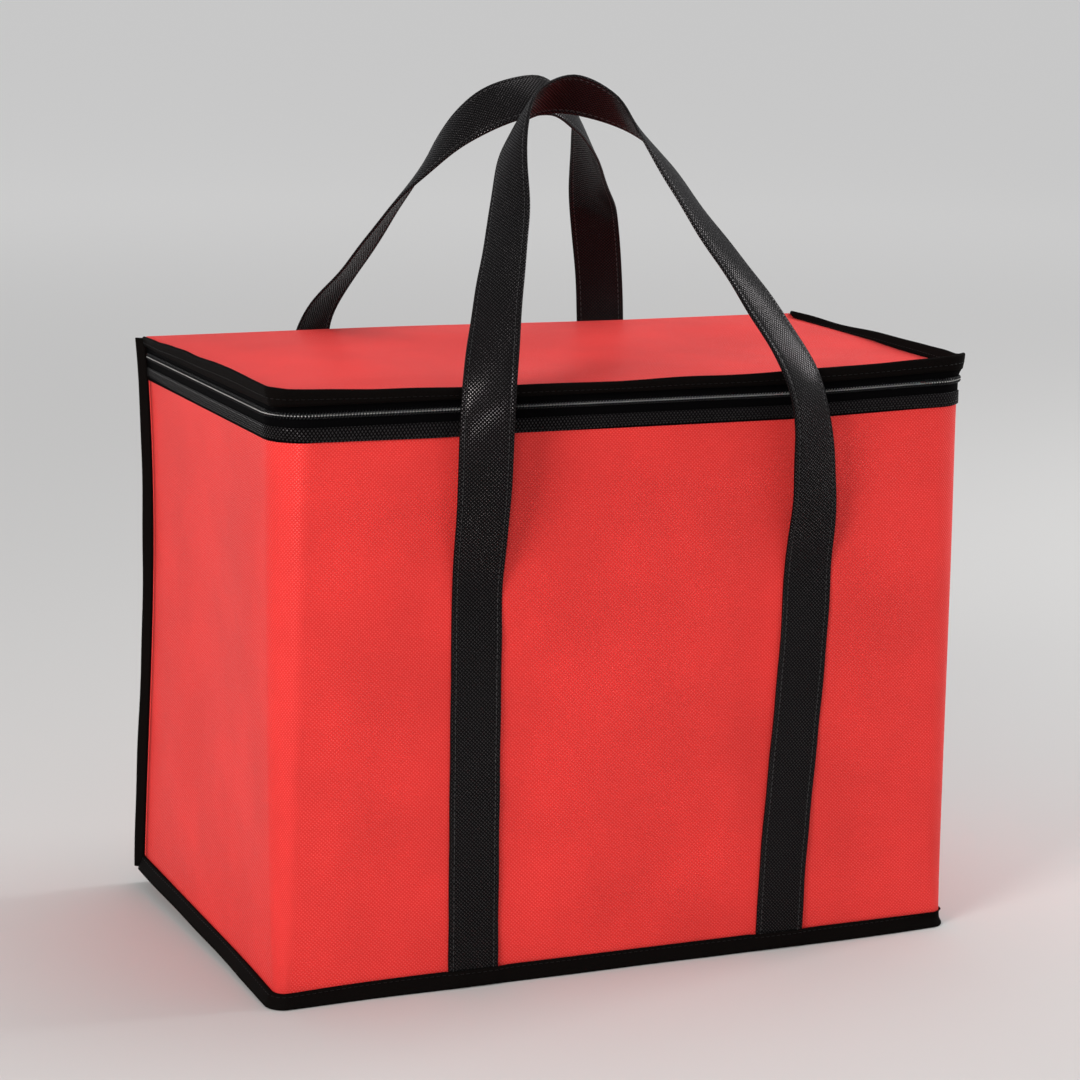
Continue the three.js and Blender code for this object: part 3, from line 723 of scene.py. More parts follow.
base_along = stations(0, around, 4 * mm)[:-1]
at_left = bell(base_along, front_left_s, left_spread)
at_right = bell(base_along, front_right_s, right_spread)
base_out, base_rise = base_section[:, :1], base_section[:, 1:]
base_points, base_angle = plan(base_along, base_out, base_rise * (1 - left_drop * at_left))
raised = (base_out > 0.2 * mm) * ease(base_rise, 0, 3 * mm)
lift = over_straps(base_points) * raised * (strap_thickness + 0.1 * mm)
ripple = base_ripple * np.sin(base_along * 61) * np.sin(base_along * 23 + 1)
lift += (base_out > 1.5 * mm) * (ripple - right_flush * at_right + left_swell * at_left)
base_points = settle(base_points + outward(base_angle) * lift[..., None])
base_map = flat_map(np.append(base_along, around), walked(base_section, [base_girth]))
base_binding = surface("base_binding", base_points, base_map, binding_cloth, loop=True, ring=True)
on_body(base_binding, "root", "black_binding", "bottom_binding")
print("base binding faces:", len(base_binding.data.polygons))

# %% [markdown]
# Where two walls or the lid and a tape meet, their edges are sewn back to back and wrapped in
# tape, which leaves a rounded fin. One section serves them all: up one side, round the tip and
# down the other. It is swept up both back corners, where the fin points outwards at 45 degrees,
# and round the lid, where it stands up and leans out.

# %% A fin of binding
fin_thickness = 2.4 * mm
fin_foot = 0.2 * mm
tip_steps = np.linspace(0, math.pi, 7)[1:-1]


def tongue(base, tip, thickness, plump=0.12):
    """A closed section on a centre line from base to tip. Each side lies half the thickness
    from the line, swollen in its middle, and a half circle joins them at the tip."""
    base, tip = (np.array(end, float).reshape(2, -1) for end in (base, tip))
    way = (tip - base) / np.linalg.norm(tip - base, axis=0)
    normal = np.stack([way[1], -way[0]])
    half = thickness / 2
    rise = np.array([0, 0.25, 0.5, 0.75, 1.0])
    swell = 1 + plump * np.sin(rise * math.pi)
    middle = base[:, None] + (tip - base - way * half)[:, None] * rise[:, None]
    side = normal[:, None] * (half * swell)[:, None]
    round_tip = (tip - way * half)[:, None] + half * (
        normal[:, None] * np.cos(tip_steps)[:, None] + way[:, None] * np.sin(tip_steps)[:, None])
    return np.concatenate([middle + side, round_tip, (middle - side)[:, ::-1]], axis=1)


def section_length(section):
    """The distance round a closed section, for its map."""
    first = section[:, :, 0].T
    return walked(np.concatenate([first, first[:1]]))


fin_rise = np.linspace(1.2 * mm, fold_z - 1.6 * mm, 72)
fin_reach = 6.6 * mm
for side, hand in ((-1, "left"), (1, "right")):
    sway = 0.35 * mm * np.sin(fin_rise * 41 + side) + 0.25 * mm * np.sin(fin_rise * 97)
    foot = np.full((2, fin_rise.size), fin_foot)
    tip = foot + fin_reach * math.sqrt(0.5) + np.stack([sway, -sway])
    section = tongue(foot, tip, fin_thickness)
    fin_points = together(side * (half_width + section[0]), half_depth + section[1], fin_rise)
    back_fin = surface(
        f"back_{hand}_fin", settle(fin_points), flat_map(fin_rise, section_length(section)),
        binding_cloth, ring=True)
    on_body(back_fin, "root", "black_binding", f"back_{hand}_binding")
print("back fins:", round(fin_rise[-1] - fin_rise[0], 3), "m tall")

# %% [markdown]
# The lid's fin stands highest along the left side and at the two front corners, and it sinks in
# the middle of the front. A short table gives its height at places along the way, and a faint
# wave is added to it.

# %% The fin of the lid
lid_start = 0.6 * mm
lid_stop = open_end - lid_start
lid_fin_along = stations(lid_start, lid_stop, 4 * mm)
lid_fin_heights = [
    (0.0, -1.5), (0.03, 0.5), (0.06, 1.7), (0.09, 3.0), (0.135, 4.2), (0.165, 4.3),
    (front_left_s, 3.0), (front_left_s + 0.03, 2.2), (front_left_s + 0.07, 0.6),
    (front_left_s + 0.155, -1.0), (front_left_s + 0.19, -0.8), (front_left_s + 0.24, 0.2),
    (front_right_s - 0.03, 1.3), (front_right_s, 2.8), (front_right_s + 0.03, 2.2),
    (front_right_s + 0.06, 1.1), (lid_stop - 0.04, -0.6), (lid_stop, 0.0),
]

lid_fin_wave = 0.3 * np.sin(lid_fin_along * 37) + 0.25 * np.sin(lid_fin_along * 83 + 2)
lid_fin_top = lid_top_z + (from_table(lid_fin_along, lid_fin_heights) + lid_fin_wave) * mm
near_front_right = bell(lid_fin_along, front_right_s, 0.04)
near_ends = bell(lid_fin_along, lid_start, 0.02) + bell(lid_fin_along, lid_stop, 0.02)
lid_fin_lean = (3.4 - 2.2 * near_front_right - 2.4 * near_ends) * mm
lid_fin_out = (2.0 - 2.4 * near_front_right - 1.2 * near_ends) * mm
lid_fin_base = np.stack([lid_fin_out, 0 * lid_fin_along + fin_low_z - 0.6 * mm])
lid_fin_tip = np.stack([lid_fin_base[0] + lid_fin_lean, lid_fin_top])
lid_fin_section = tongue(lid_fin_base, lid_fin_tip, fin_thickness)
lid_fin_points, lid_fin_angle = plan(lid_fin_along, *lid_fin_section)
lid_fin_points = settle(lid_fin_points)
lid_fin_map = flat_map(lid_fin_along, section_length(lid_fin_section))
lid_fin = surface("lid_fin", lid_fin_points, lid_fin_map, binding_cloth, ring=True)
on_body(lid_fin, "lid", "black_binding", "lid_binding")
print("lid fin:", round(lid_stop - lid_start, 3), "m")

# %% [markdown]
# Under the zip a black band covers the edge of the wrap, and the two zip tapes stand above and
# below the coil. Each is a flat strip with a rounded section, carried round the plan between
# two heights, which can change along the way.

# %% The band and the zip tapes
strip_girth = 0.03


def strip(name, along, inner, thickness, low, high, material):
    """A flat strip round the plan: its section is a rectangle with eased corners."""
    easing = 0.3 * thickness
    rows = np.array([
        (0, 0, 0, 1), (0, 0, 1, 0), (1, 0, -1, 0), (1, 0, 0, 1), (1, 0.33, 0, 0), (1, 0.67, 0, 0),
        (1, 1, 0, -1), (1, 1, -1, 0), (0, 1, 1, 0), (0, 1, 0, -1), (0, 0.5, 0, 0),
    ])
    offset = inner + thickness * rows[:, :1] + easing * rows[:, 2:3] + 0 * along
    z = low + (high - low) * rows[:, 1:2] + easing * rows[:, 3:4] + 0 * along
    points, _ = plan(along, offset, z)
    run = walked(together(offset[:, 0], z[:, 0]), [strip_girth])
    return surface(name, settle(points), flat_map(along, run), material, ring=True)


tape_inner = 0.1 * mm
tape_thickness = 0.45 * mm
band_inner = 0.6 * mm
band_thickness = 0.6 * mm
band_heights = [
    (0.0, 5.6), (0.06, 6.2), (0.12, 6.4), (front_left_s - 0.01, 6.4), (front_left_s + 0.03, 8.0),
    (front_left_s + 0.08, 8.4), (front_left_s + 0.15, 7.8), (front_left_s + 0.2, 6.8),
    (front_right_s - 0.06, 6.8), (front_right_s, 7.6), (front_right_s + 0.06, 7.0), (open_end, 5.6),
]
coil_half_gap = 0.8 * mm
zip_along = stations(0.1 * mm, open_end - 0.1 * mm, 4 * mm)
band_low = mouth_z - from_table(zip_along, band_heights) * mm
band = strip("black_band", zip_along, band_inner, band_thickness, band_low, mouth_z, black_cloth)
on_body(band, "root", "black_fabric", "mouth_band")
for hand, body, low, high in (
        ("lower", "root", mouth_z - 8 * mm, coil_z - coil_half_gap),
        ("upper", "lid", coil_z + coil_half_gap, fin_low_z + 2 * mm)):
    tape = strip(f"{hand}_zip_tape", zip_along, tape_inner, tape_thickness, low, high, tape_cloth)
    on_body(tape, body, "zip_tape", f"zip_tape_{hand}")
print("zip tapes: 2, band from", round(band_low.min(), 4))

# %% [markdown]
# Each handle is one length of webbing with its legs: it starts under the base binding, is sewn up the front,
# leaves the wall at the seam, turns over above the lid and comes down again. Its middle line and the way
# that its width points are smooth curves through a few listed places, as shares of the spacing, the depth
# and the rise. A Catmull-Rom curve passes through each of them, which makes such a table easy to read
# against the photograph.

# %% The route of the handles
handle_rise = 255 * mm
front_places = [
    (-1.00, 0.00, 0.00, 1.00, 0.00, 0.00), (-1.02, -0.12, 0.20, 1.00, 0.20, 0.00),
    (-1.02, -0.15, 0.42, 0.87, 0.48, 0.00), (-0.89, 0.05, 0.60, 0.70, 0.68, 0.22),
    (-0.71, 0.33, 0.75, 0.55, 0.75, 0.38), (-0.55, 0.61, 0.91, 0.20, 0.78, 0.59),
    (-0.38, 0.74, 0.98, 0.04, 0.72, 0.69), (-0.14, 0.79, 1.00, 0.00, 0.64, 0.77),
    (0.09, 0.70, 0.97, -0.20, 0.75, 0.63), (0.25, 0.56, 0.90, -0.60, 0.76, 0.26),
    (0.46, 0.31, 0.74, -0.76, 0.65, 0.09), (0.68, 0.06, 0.58, -0.84, 0.54, -0.04),
    (0.87, -0.14, 0.41, -0.88, 0.46, -0.11), (0.96, -0.12, 0.19, -0.98, 0.19, -0.06),
    (1.00, 0.00, 0.00, -1.00, 0.00, 0.00),
]
back_places = [
    (-1.00, 0.00, 0.00, 1.00, 0.00, 0.00), (-0.95, -0.12, 0.20, 1.00, 0.03, -0.04),
    (-0.89, -0.14, 0.43, 0.87, 0.50, -0.02), (-0.71, 0.09, 0.59, 0.76, 0.64, 0.14),
    (-0.53, 0.34, 0.75, 0.64, 0.72, 0.27), (-0.32, 0.60, 0.90, 0.14, 0.78, 0.61),
    (-0.12, 0.72, 0.96, -0.06, 0.70, 0.72), (0.15, 0.74, 0.98, -0.08, 0.69, 0.72),
    (0.36, 0.64, 0.94, -0.06, 0.66, 0.75), (0.53, 0.48, 0.89, -0.16, 0.68, 0.72),
    (0.74, 0.17, 0.76, -0.60, 0.69, 0.39), (0.88, -0.05, 0.66, -0.88, 0.46, 0.00),
    (0.99, -0.18, 0.50, -0.83, 0.55, -0.05), (1.01, -0.18, 0.34, -0.84, 0.54, -0.03),
    (1.00, -0.13, 0.20, -0.97, 0.24, 0.00), (1.00, 0.00, 0.00, -1.00, 0.00, 0.00),
]
leg_heights = np.array([0.004, 0.05, 0.10, 0.15, 0.19])
way_weight = 40 * mm
curve_steps = 24
route_step = 4 * mm


def smooth_curve(places, steps):
    """A centripetal Catmull-Rom curve: between two places a cubic whose slopes come from the
    neighbours, each weighed by the square root of its distance."""
    whole = np.concatenate([[2 * places[0] - places[1]], places, [2 * places[-1] - places[-2]]])
    p0, p1, p2, p3 = (whole[k:len(whole) - 3 + k, None] for k in range(4))
    d0, d1, d2 = (
        np.linalg.norm(b - a, axis=-1, keepdims=True) ** 0.5 for a, b in ((p0, p1), (p1, p2), (p2, p3)))
    slope_1 = d1 * ((p1 - p0) / d0 - (p2 - p0) / (d0 + d1) + (p2 - p1) / d1)
    slope_2 = d1 * ((p2 - p1) / d1 - (p3 - p1) / (d1 + d2) + (p3 - p2) / d2)
    t = np.linspace(0, 1, steps, endpoint=False)[None, :, None]
    bent = p1 + slope_1 * t + (3 * (p2 - p1) - 2 * slope_1 - slope_2) * t ** 2
    bent = bent + (2 * (p1 - p2) + slope_1 + slope_2) * t ** 3
    return np.concatenate([bent.reshape(-1, places.shape[1]), places[-1:]])


def square_to(directions, forward):
    """Unit directions at right angles to others: what lies along those is taken off."""
    return unit(directions - forward * np.einsum("ij,ij->i", directions, forward)[:, None])


def handle_route(places, shift, side, lean):
    """The middle line of a handle with its legs, evenly spaced, its directions across the width
    and through the thickness, and the distance walked."""
    along, inward, rise, way_x, way_out, way_z = np.array(places).T
    foot_y = half_depth + strap_gap + strap_thickness / 2
    middle = together(
        shift + along * strap_half_spacing, side * (foot_y - inward * half_depth),
        seam_z + strap_gap + rise * handle_rise)
    way = together(way_x, side * way_out, way_z)
    down = 1 - leg_heights / seam_z
    left, right = (
        together(middle[end, 0] - slant * ease(down, 0, 1), side * foot_y, leg_heights)
        for end, slant in ((0, 0.0), (-1, lean)))
    middle = np.concatenate([left, middle, right[::-1]])
    way = np.pad(way, ((leg_heights.size, leg_heights.size), (0, 0)), mode="edge")
    both = smooth_curve(np.concatenate([middle, way_weight * way], axis=1), curve_steps)
    line = both[:, :3] + bulge(both[:, :3])
    line[:, 1] += leaning(both[:, :3])[:, 1]
    run = walked(line)
    even = np.linspace(0, run[-1], math.ceil(run[-1] / route_step))
    line = resample(even, run, line)
    forward = unit(np.gradient(line, axis=0))
    across = square_to(resample(even, run, both[:, 3:]), forward)
    return line, across, np.cross(forward, across) * side, even


routes = {
    "front": handle_route(front_places, front_shift, -1, front_right_lean),
    "back": handle_route(back_places, back_shift, 1, 0),
}
print("handles:", [round(route[-1][-1], 3) for route in routes.values()], "m long with their legs")

# %% [markdown]
# The webbing's section is what makes it read as cloth: folded edges that stand a little proud,
# a groove where the stitches pull it in, and a faint crown between them. The section is carried
# along the route, and the strap curls slightly where nothing holds it flat.

# %% The webbing
groove_at = 11.7 * mm
strap_curl = -1.2 * mm
strap_ruffle = 0.25 * mm
half_section = np.array([
    (14.50, 0.00), (14.45, 0.35), (14.15, 0.68), (13.5, 0.84), (12.6, 0.84), (12.1, 0.70),
    (11.7, 0.55), (11.3, 0.70), (10.6, 0.80), (8.0, 0.78), (5.4, 0.76), (2.7, 0.78), (0.0, 0.80),
]) * mm
outer_face = np.concatenate([half_section, half_section[-2::-1] * (-1, 1)])
strap_section = np.concatenate([outer_face, outer_face[-2:0:-1] * (1, -1)])
strap_girth = 61.5 * mm
free_band = (seam_z + 0.01, seam_z + 0.06)


def on_route(route, out, height):
    """Points at an offset across a strap and a height off its middle. Where the strap is free
    it curls by the square of the offset, and a small ruffle grows to its edges."""
    line, across, through, even = route
    share = out / (strap_width / 2)
    free = ease(line[:, 2], *free_band)
    bow = strap_curl * free * share ** 2 + strap_ruffle * np.sin(even * 140) * share ** 3 + height
    return line + out[..., None] * across + bow[..., None] * through


def blend_handle(piece):
    """The piece's transform is baked into its points."""
    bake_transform(piece)


for face, route in routes.items():
    strap_points = on_route(route, strap_section[:, :1], strap_section[:, 1:])
    strap_map = flat_map(route[-1], walked(strap_section, [strap_girth]))
    strap = surface(f"{face}_strap", strap_points, strap_map, strap_cloth, ring=True)
    blend_handle(strap)
    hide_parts(f"{face}_handle", f"{face}_strap_leg_left", f"{face}_strap_leg_right")
    print(face, "strap faces:", len(strap.data.polygons))

# %% [markdown]
# Inside the walls lie sheets of closed-cell foam, and inside the foam a film faced with
# aluminium. Nobody sees the foam, but the bag's shape comes from it. Each layer is one sheet of
# points at its depth behind the cloth, given its thickness by Solidify, and it settles with the
# same displacement as the cloth, so the layers stay apart by the gap that the frame gives them.

# %% Foam
def foam_material():
    """Closed cells: a fine cellular bump on matt white."""
    material, tree = new_material("white_foam", Roughness=0.9, Specular_IOR_Level=0.3)
    cells = node(tree, "TexVoronoi", Vector=cloth_place(tree), Scale=900).outputs["Distance"]
    tone = blend_colours(tree, cells, (0.78, 0.77, 0.73), (0.88, 0.87, 0.84))
    return finished(material, [(cells, 0.15 * mm, 0.6)], Base_Color=tone)


def flip(points, cloth):
    """The same sheet with its face on the other side: its columns are taken backwards."""
    return points[:, ::-1], cloth[:, ::-1]


def level_sheet(z, offset, back_y, dip=False, rim=0.0):
    """A level sheet with the plan's rounded front corners, its face up. The rim raises its
    edge within a few millimetres, as where it is folded round a pad."""
    radius = (base_radius if z < mouth_z / 2 else mouth_radius) + offset
    front_y = -half_depth - offset
    share = np.sin(np.linspace(0, math.pi / 2, 56))
    y = back_y + (front_y - back_y) * share
    half = lid_half_width(y, offset, radius)
    x = half[:, None] * np.sin(np.linspace(math.pi / 2, -math.pi / 2, 72))
    edge = np.minimum(half[:, None] - np.abs(x), (y - front_y)[:, None])
    height = z + rim * (1 - ease(edge, 0, 3 * mm))
    points = together(x, y[:, None], height)
    if dip:
        points = points + lid_dip(points)
    return settle(points), together(x, -y[:, None])


def upright_sheet(half, y, low, high):
    """An upright sheet behind the back wall, between two heights, and its map."""
    x, z = np.linspace(1, -1, 60) * half, np.linspace(low, high, 60)
    return settle(together(x, y, z[:, None])), flat_map(x, z)


foam = foam_material()
foam_thickness = 3 * mm
pad_low, pad_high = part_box("wrap_foam")
foam_offset = pad_high.x - half_width
pad_inset = 0.5 * mm
back_pad_inset = 5 * mm
pad_rise = np.linspace(pad_low.z, pad_high.z, 60)
pad_along = stations(1 * mm, open_end - 1 * mm, 6 * mm, 3 * mm)
pad_points, _ = plan(pad_along[None, :], foam_offset, pad_rise[:, None])
back_low, back_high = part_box("back_foam")
base_foam_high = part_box("base_foam")[1]
lid_foam_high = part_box("lid_foam")[1]
pads = {
    "wrap": (settle(pad_points), flat_map(pad_along, pad_rise)),
    "back": upright_sheet(half_width - back_pad_inset, half_depth + foam_offset, back_low.z, back_high.z),
    "base": level_sheet(base_foam_high.z, foam_offset - pad_inset, half_depth + foam_offset),
    "lid": level_sheet(lid_foam_high.z, foam_offset - pad_inset, lid_foam_high.y, dip=True),
}
for place, (points, cloth) in pads.items():
    pad = thicken(surface(f"{place}_pad", points, cloth, foam), foam_thickness)
    on_body(pad, "lid" if place == "lid" else "root", "foam", f"{place}_foam")
print("pads:", len(pads))

# %% [markdown]
# The liner is a stiff shiny film, so it doesn't hang: it creases. Sharp creases come from a
# lattice of cells whose borders are ridges, at two scales, and softer pillows lie between them.
# At the mouth the film turns outwards over the top of the foam, where it is sewn to the cloth.

# %% The foil liner
film_thickness = 0.5 * mm
crease_depths = {34: 0.8 * mm, 88.4: 0.2 * mm}
pillow_depth = 2.5 * mm


def foil_material():
    """Crumpled aluminium film: ridges between cells at two scales over soft pillows."""
    material, tree = new_material("aluminium_film", Metallic=0.7)
    place = cloth_place(tree)
    bent = noise(tree, place, 18, 3)
    shift = node(tree, "VectorMath", {"operation": "SCALE"}, i0=bent, i3=0.03).outputs[0]
    warped = node(tree, "VectorMath", {"operation": "ADD"}, i0=place, i1=shift).outputs[0]
    voronoi = {"feature": "DISTANCE_TO_EDGE", "voronoi_dimensions": "2D"}
    bumps = []
    for scale, depth in crease_depths.items():
        edge = node(tree, "TexVoronoi", voronoi, Vector=warped, Scale=scale).outputs["Distance"]
        bumps.append((ramp(tree, edge, 0.0, 0.3, 1.0, 0.0), depth, 0.35))
    bumps.append((bent, pillow_depth, 0.4))
    tone = ramp(tree, noise(tree, place, 60, 3), 0.3, 0.7, 0.8, 0.88)
    grey = node(tree, "CombineColor", i0=tone, i1=tone, i2=calc(tree, "MULTIPLY", tone, 1.02))
    rough = ramp(tree, noise(tree, place, 120, 2), 0.3, 0.7, 0.3, 0.4)
    return finished(material, bumps, Base_Color=grey.outputs[0], Roughness=rough)


film = foil_material()
film_low, film_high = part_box("wrap_liner")
film_offset = film_low.x + half_width
hem_offset = -fabric_thickness - film_thickness - 0.1 * mm
film_slack = 0.35 * mm
film_top = film_high.z
pad_top = pad_rise[-1]
film_rise = np.concatenate([
    np.linspace(film_low.z, pad_top, 60, endpoint=False),
    np.linspace(pad_top, film_top, 8),
])
turned_out = ease(film_rise, pad_top + 0.4 * mm, film_top - 0.6 * mm)[:, None]
slack = film_slack * (1 + np.sin(pad_along * 90)) * np.sin(film_rise[:, None] * 60) ** 2
film_depth = -film_offset + (hem_offset + film_offset) * turned_out - slack * (1 - turned_out)
film_points, _ = plan(pad_along[None, :], film_depth, film_rise[:, None])
back_liner_low, back_liner_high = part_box("back_liner")
back_liner_sheet = upright_sheet(
    back_liner_high.x, back_liner_low.y, back_liner_low.z, back_liner_high.z)
lid_liner_low, lid_liner_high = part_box("lid_liner")
base_liner_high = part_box("base_liner")[1]
lid_liner_sheet = level_sheet(
    lid_liner_low.z, foam_offset + 0.4 * mm, lid_liner_high.y, dip=True, rim=foam_thickness + film_thickness)
liners = {
    "wrap_liner": ("wall_liner", flip(settle(film_points), flat_map(pad_along, film_rise)),
                   (open_end, film_top)),
    "back_liner": ("back_wall_liner", flip(*back_liner_sheet),
                   (2 * back_liner_high.x, back_liner_high.z - back_liner_low.z)),
    "base_liner": ("floor_liner",
                   level_sheet(base_liner_high.z, base_liner_high.x - half_width, base_liner_high.y),
                   (2 * base_liner_high.x, 2 * base_liner_high.y)),
    "lid_liner": ("lid_liner_film", flip(*lid_liner_sheet), (2 * half_width, 2 * half_depth)),
}
for cad_node, (name, (points, cloth), flat) in liners.items():
    liner = thicken(surface(name, points, cloth, film), film_thickness)
    on_body(liner, "lid" if cad_node == "lid_liner" else "root", "foil_liner", cad_node)
print("liners:", len(liners))

# %% [markdown]
# Under the bag the red cloth closes the base, and a stiff board lies on it. The board is the
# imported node's own shape, copied, merged and settled with the cloth that it lies on.

# %% The underside and the board
base_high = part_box("base_outer")[1]
under_sheet = level_sheet(0.0, base_high.x - half_width, base_high.y)
under = thicken(surface("red_base", *flip(*under_sheet), red_cloth), fabric_thickness)
on_body(under, "root", "red_fabric", "base_outer")


def merged_copy(cad_node, name, material):
    """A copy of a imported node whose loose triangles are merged, so that it can be bevelled."""
    mesh = bpy.data.meshes.new(name)
    work = bmesh.new()
    work.from_mesh(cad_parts[cad_node].data)
    bmesh.ops.remove_doubles(work, verts=work.verts, dist=0.01 * mm)
    bmesh.ops.dissolve_limit(work, angle_limit=math.radians(1), verts=work.verts, edges=work.edges)
    work.to_mesh(mesh)
    work.free()
    mesh.materials.clear()
    mesh.materials.append(material)
    return add_object(name, mesh)


def board_material():
    """Grey pressed board: soft clouds and short fibres."""
    material, tree = new_material("grey_board", Roughness=0.82, Specular_IOR_Level=0.3)
    place = node(tree, "TexCoord").outputs["Object"]
    clouds = noise(tree, place, 40, 4)
    fibres = noise(tree, node(tree, "Mapping", Vector=place, Scale=(300, 1200, 300)).outputs[0], 1.0, 3)
    share = calc(tree, "MULTIPLY_ADD", clouds, 0.6, calc(tree, "MULTIPLY", fibres, 0.4))
    tone = blend_colours(tree, share, (0.26, 0.245, 0.22), (0.42, 0.4, 0.37))
    return finished(material, [(fibres, 0.1 * mm, 0.5)], Base_Color=tone)


board = merged_copy("base_board", "stiffening_board", board_material())
board_vertices = board.data.vertices
board_points = np.empty(3 * len(board_vertices))
board_vertices.foreach_get("co", board_points)
board_vertices.foreach_set("co", settle(board_points.reshape(-1, 3)).ravel())
on_body(board, "root", "stiffener", "base_board")
print("board points:", len(board_vertices))

# %% [markdown]
# A coil zip is two nylon springs, flattened and sewn to the tapes, whose turns mesh. Each row is
# one tube along a spiral: the place along the bag grows evenly while the offset and the height
# go round an ellipse. The rows are half a turn apart, so each turn lies between two others. On
# the right side, where the slider runs, they stand apart by its post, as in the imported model.

# %% The coils
coil_pitch = 1.7 * mm
coil_wire = 0.3 * mm
coil_centre = 1.15 * mm
coil_deep = 0.6 * mm
coil_tall = 0.95 * mm
coil_apart = 0.92 * mm
part_band = (starts[4] - 3 * mm, starts[4] + 3.5 * mm)
coil_tilt = 0.35 * mm
coil_begin = 4 * mm
coil_end = starts[4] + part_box("zip_slider")[0].y + half_depth - mouth_radius - 0.8 * mm
coil_turns = round((coil_end - coil_begin) / coil_pitch)
coil_steps = 10
wire_sides = 5


def coil_material(name, painted_highlight_level):
    """Glossy black nylon with a faint drawn grain, and a light grey painted highlight at the tip of each
    turn, where the sine of the turn is at its end, up to the given level."""
    material, tree = new_material(name, Specular_IOR_Level=0.2)
    place = cloth_place(tree)
    grain = noise(tree, place, 700, 2)
    along = node(tree, "SeparateXYZ", Vector=place).outputs[0]
    wave = 2 * math.pi / coil_pitch
    turned = calc(tree, "MULTIPLY_ADD", along, wave, -coil_begin * wave)
    painted_head_highlight = ramp(tree, calc(tree, "SINE", turned), 0.6, 0.85, 0.0, painted_highlight_level)
    body = blend_colours(tree, grain, (0.004, 0.004, 0.0045), (0.014, 0.014, 0.015))
    return finished(
        material, [(grain, 0.03 * mm, 0.3)],
        # The light grey mixed in at the tips of the turns is a painted highlight.
        Base_Color=blend_colours(tree, painted_head_highlight, body, (0.8, 0.78, 0.76)),
        Roughness=ramp(tree, grain, 0.2, 0.8, 0.12, 0.2))


def coil_row(name, side, painted_highlight_level):
    """A spiral round the plan. Its offset is the centre plus the depth times the cosine of the
    turn, its height the row's middle plus the height times the sine, and it is tilted so that
    the meshed middle of the zip stands out. A circle of wire is carried along it."""
    nylon = coil_material(f"black_nylon_{name}", painted_highlight_level)
    turned = np.linspace(0, coil_turns * 2 * math.pi, coil_turns * coil_steps + 1)
    along = coil_begin + coil_turns * coil_pitch * turned / turned[-1]
    phase = turned + (side > 0) * math.pi
    middle_z = coil_z + side * (coil_tall + coil_apart * ease(along, *part_band))
    offset = coil_centre + coil_deep * np.cos(phase) - side * coil_tilt * np.sin(phase)
    line, angle = plan(along, offset, middle_z + coil_tall * np.sin(phase))
    line = settle(line)
    tangent = unit(np.gradient(line, axis=0))
    first = square_to(outward(angle + math.pi / 2), tangent)
    second = np.cross(tangent, first)
    ring = np.linspace(0, 2 * math.pi, wire_sides, endpoint=False)[:, None, None]
    points = line + coil_wire * (first * np.cos(ring) + second * np.sin(ring))
    run = np.linspace(0, 2 * math.pi * coil_wire, wire_sides + 1)
    return surface(name, points, flat_map(along, run), nylon, ring=True)


# The lower row gets a full painted highlight at the tips of its turns, and the upper row a faint one.
for hand, body, side, painted_highlight_level in (("lower", "root", -1, 1.0), ("upper", "lid", 1, 0.2)):
    row = coil_row(f"{hand}_zip_coil", side, painted_highlight_level)
    on_body(row, body, "zip_coil", f"zip_coil_{hand}")
print("coil turns:", coil_turns)

# %% [markdown]
# The slider and its puller are die cast and enamelled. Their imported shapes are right, so a copy
# gets small bevels, which is what makes cast metal catch the light along its edges.

# %% The slider and the puller
cast_bevel = 0.18 * mm


def enamel_material():
    """Black enamel on a casting: orange peel, and wear that thins it on faint patches."""
    material, tree = new_material("black_enamel", Metallic=0.55, Coat_Weight=0.3, Coat_Roughness=0.12)
    place = node(tree, "TexCoord").outputs["Object"]
    peel = noise(tree, place, 1800, 2)
    wear = ramp(tree, noise(tree, place, 420, 4, 0.6), 0.62, 0.8, 0.0, 0.35)
    return finished(
        material, [(peel, 0.02 * mm, 0.3)],
        Base_Color=blend_colours(tree, wear, (0.018, 0.018, 0.021), (0.09, 0.088, 0.086)),
        Roughness=ramp(tree, peel, 0.3, 0.7, 0.28, 0.36))


enamel = enamel_material()
for name in ("slider", "puller"):
    casting = merged_copy(f"zip_{name}", name, enamel)
    bevel = casting.modifiers.new("bevel", "BEVEL")
    bevel.width = cast_bevel
    bevel.segments = 2
    bevel.limit_method = "ANGLE"
    bevel.angle_limit = math.radians(35)
    casting.data.shade_smooth()
    casting.data.set_sharp_from_angle(angle=math.radians(40))
    on_body(casting, name, "slider_enamel", f"zip_{name}")
print("castings: 2")

# %% [markdown]
# Sewing is the detail that tells cloth from plastic. A lock stitch shows as a short thread
# between two holes, repeated at an even pitch. One small spindle of a few faces is copied to
# every place along a seam at once, with array sums and no loop.

# %% Stitches
stitch_pitch = 3.4 * mm
strap_stitch = (2.5 * mm, 0.5 * mm, 0.28 * mm)
fine_stitch = (2.2 * mm, 0.4 * mm, 0.2 * mm)
groove_height = 0.55 * mm
spindle_rings = 4
spindle_sides = 6


def spindle():
    """A unit spindle: rings whose radius is a power of the sine of the angle from the tip, and
    two poles."""
    angle = np.linspace(0, math.pi, spindle_rings + 2)[1:-1]
    turned = np.linspace(0, 2 * math.pi, spindle_sides, endpoint=False)[:, None]
    radius = np.sin(angle) ** 0.6
    rings = together(-0.5 * np.cos(angle), radius * np.cos(turned), radius * np.sin(turned))
    points = np.concatenate([rings.reshape(-1, 3), [[-0.5, 0, 0], [0.5, 0, 0]]])
    corners = grid_faces(spindle_sides, spindle_rings, False, True)
    quads = np.stack([a % spindle_sides * spindle_rings + b for a, b in corners], axis=1)
    tris = tube_ends(spindle_sides, spindle_rings, spindle_sides * spindle_rings)
    if signed_volume(points, quads) + signed_volume(points, tris) < 0:
        quads, tris = quads[:, ::-1], tris[:, ::-1]
    return points, quads, tris


spindle_points, spindle_quads, spindle_tris = spindle()


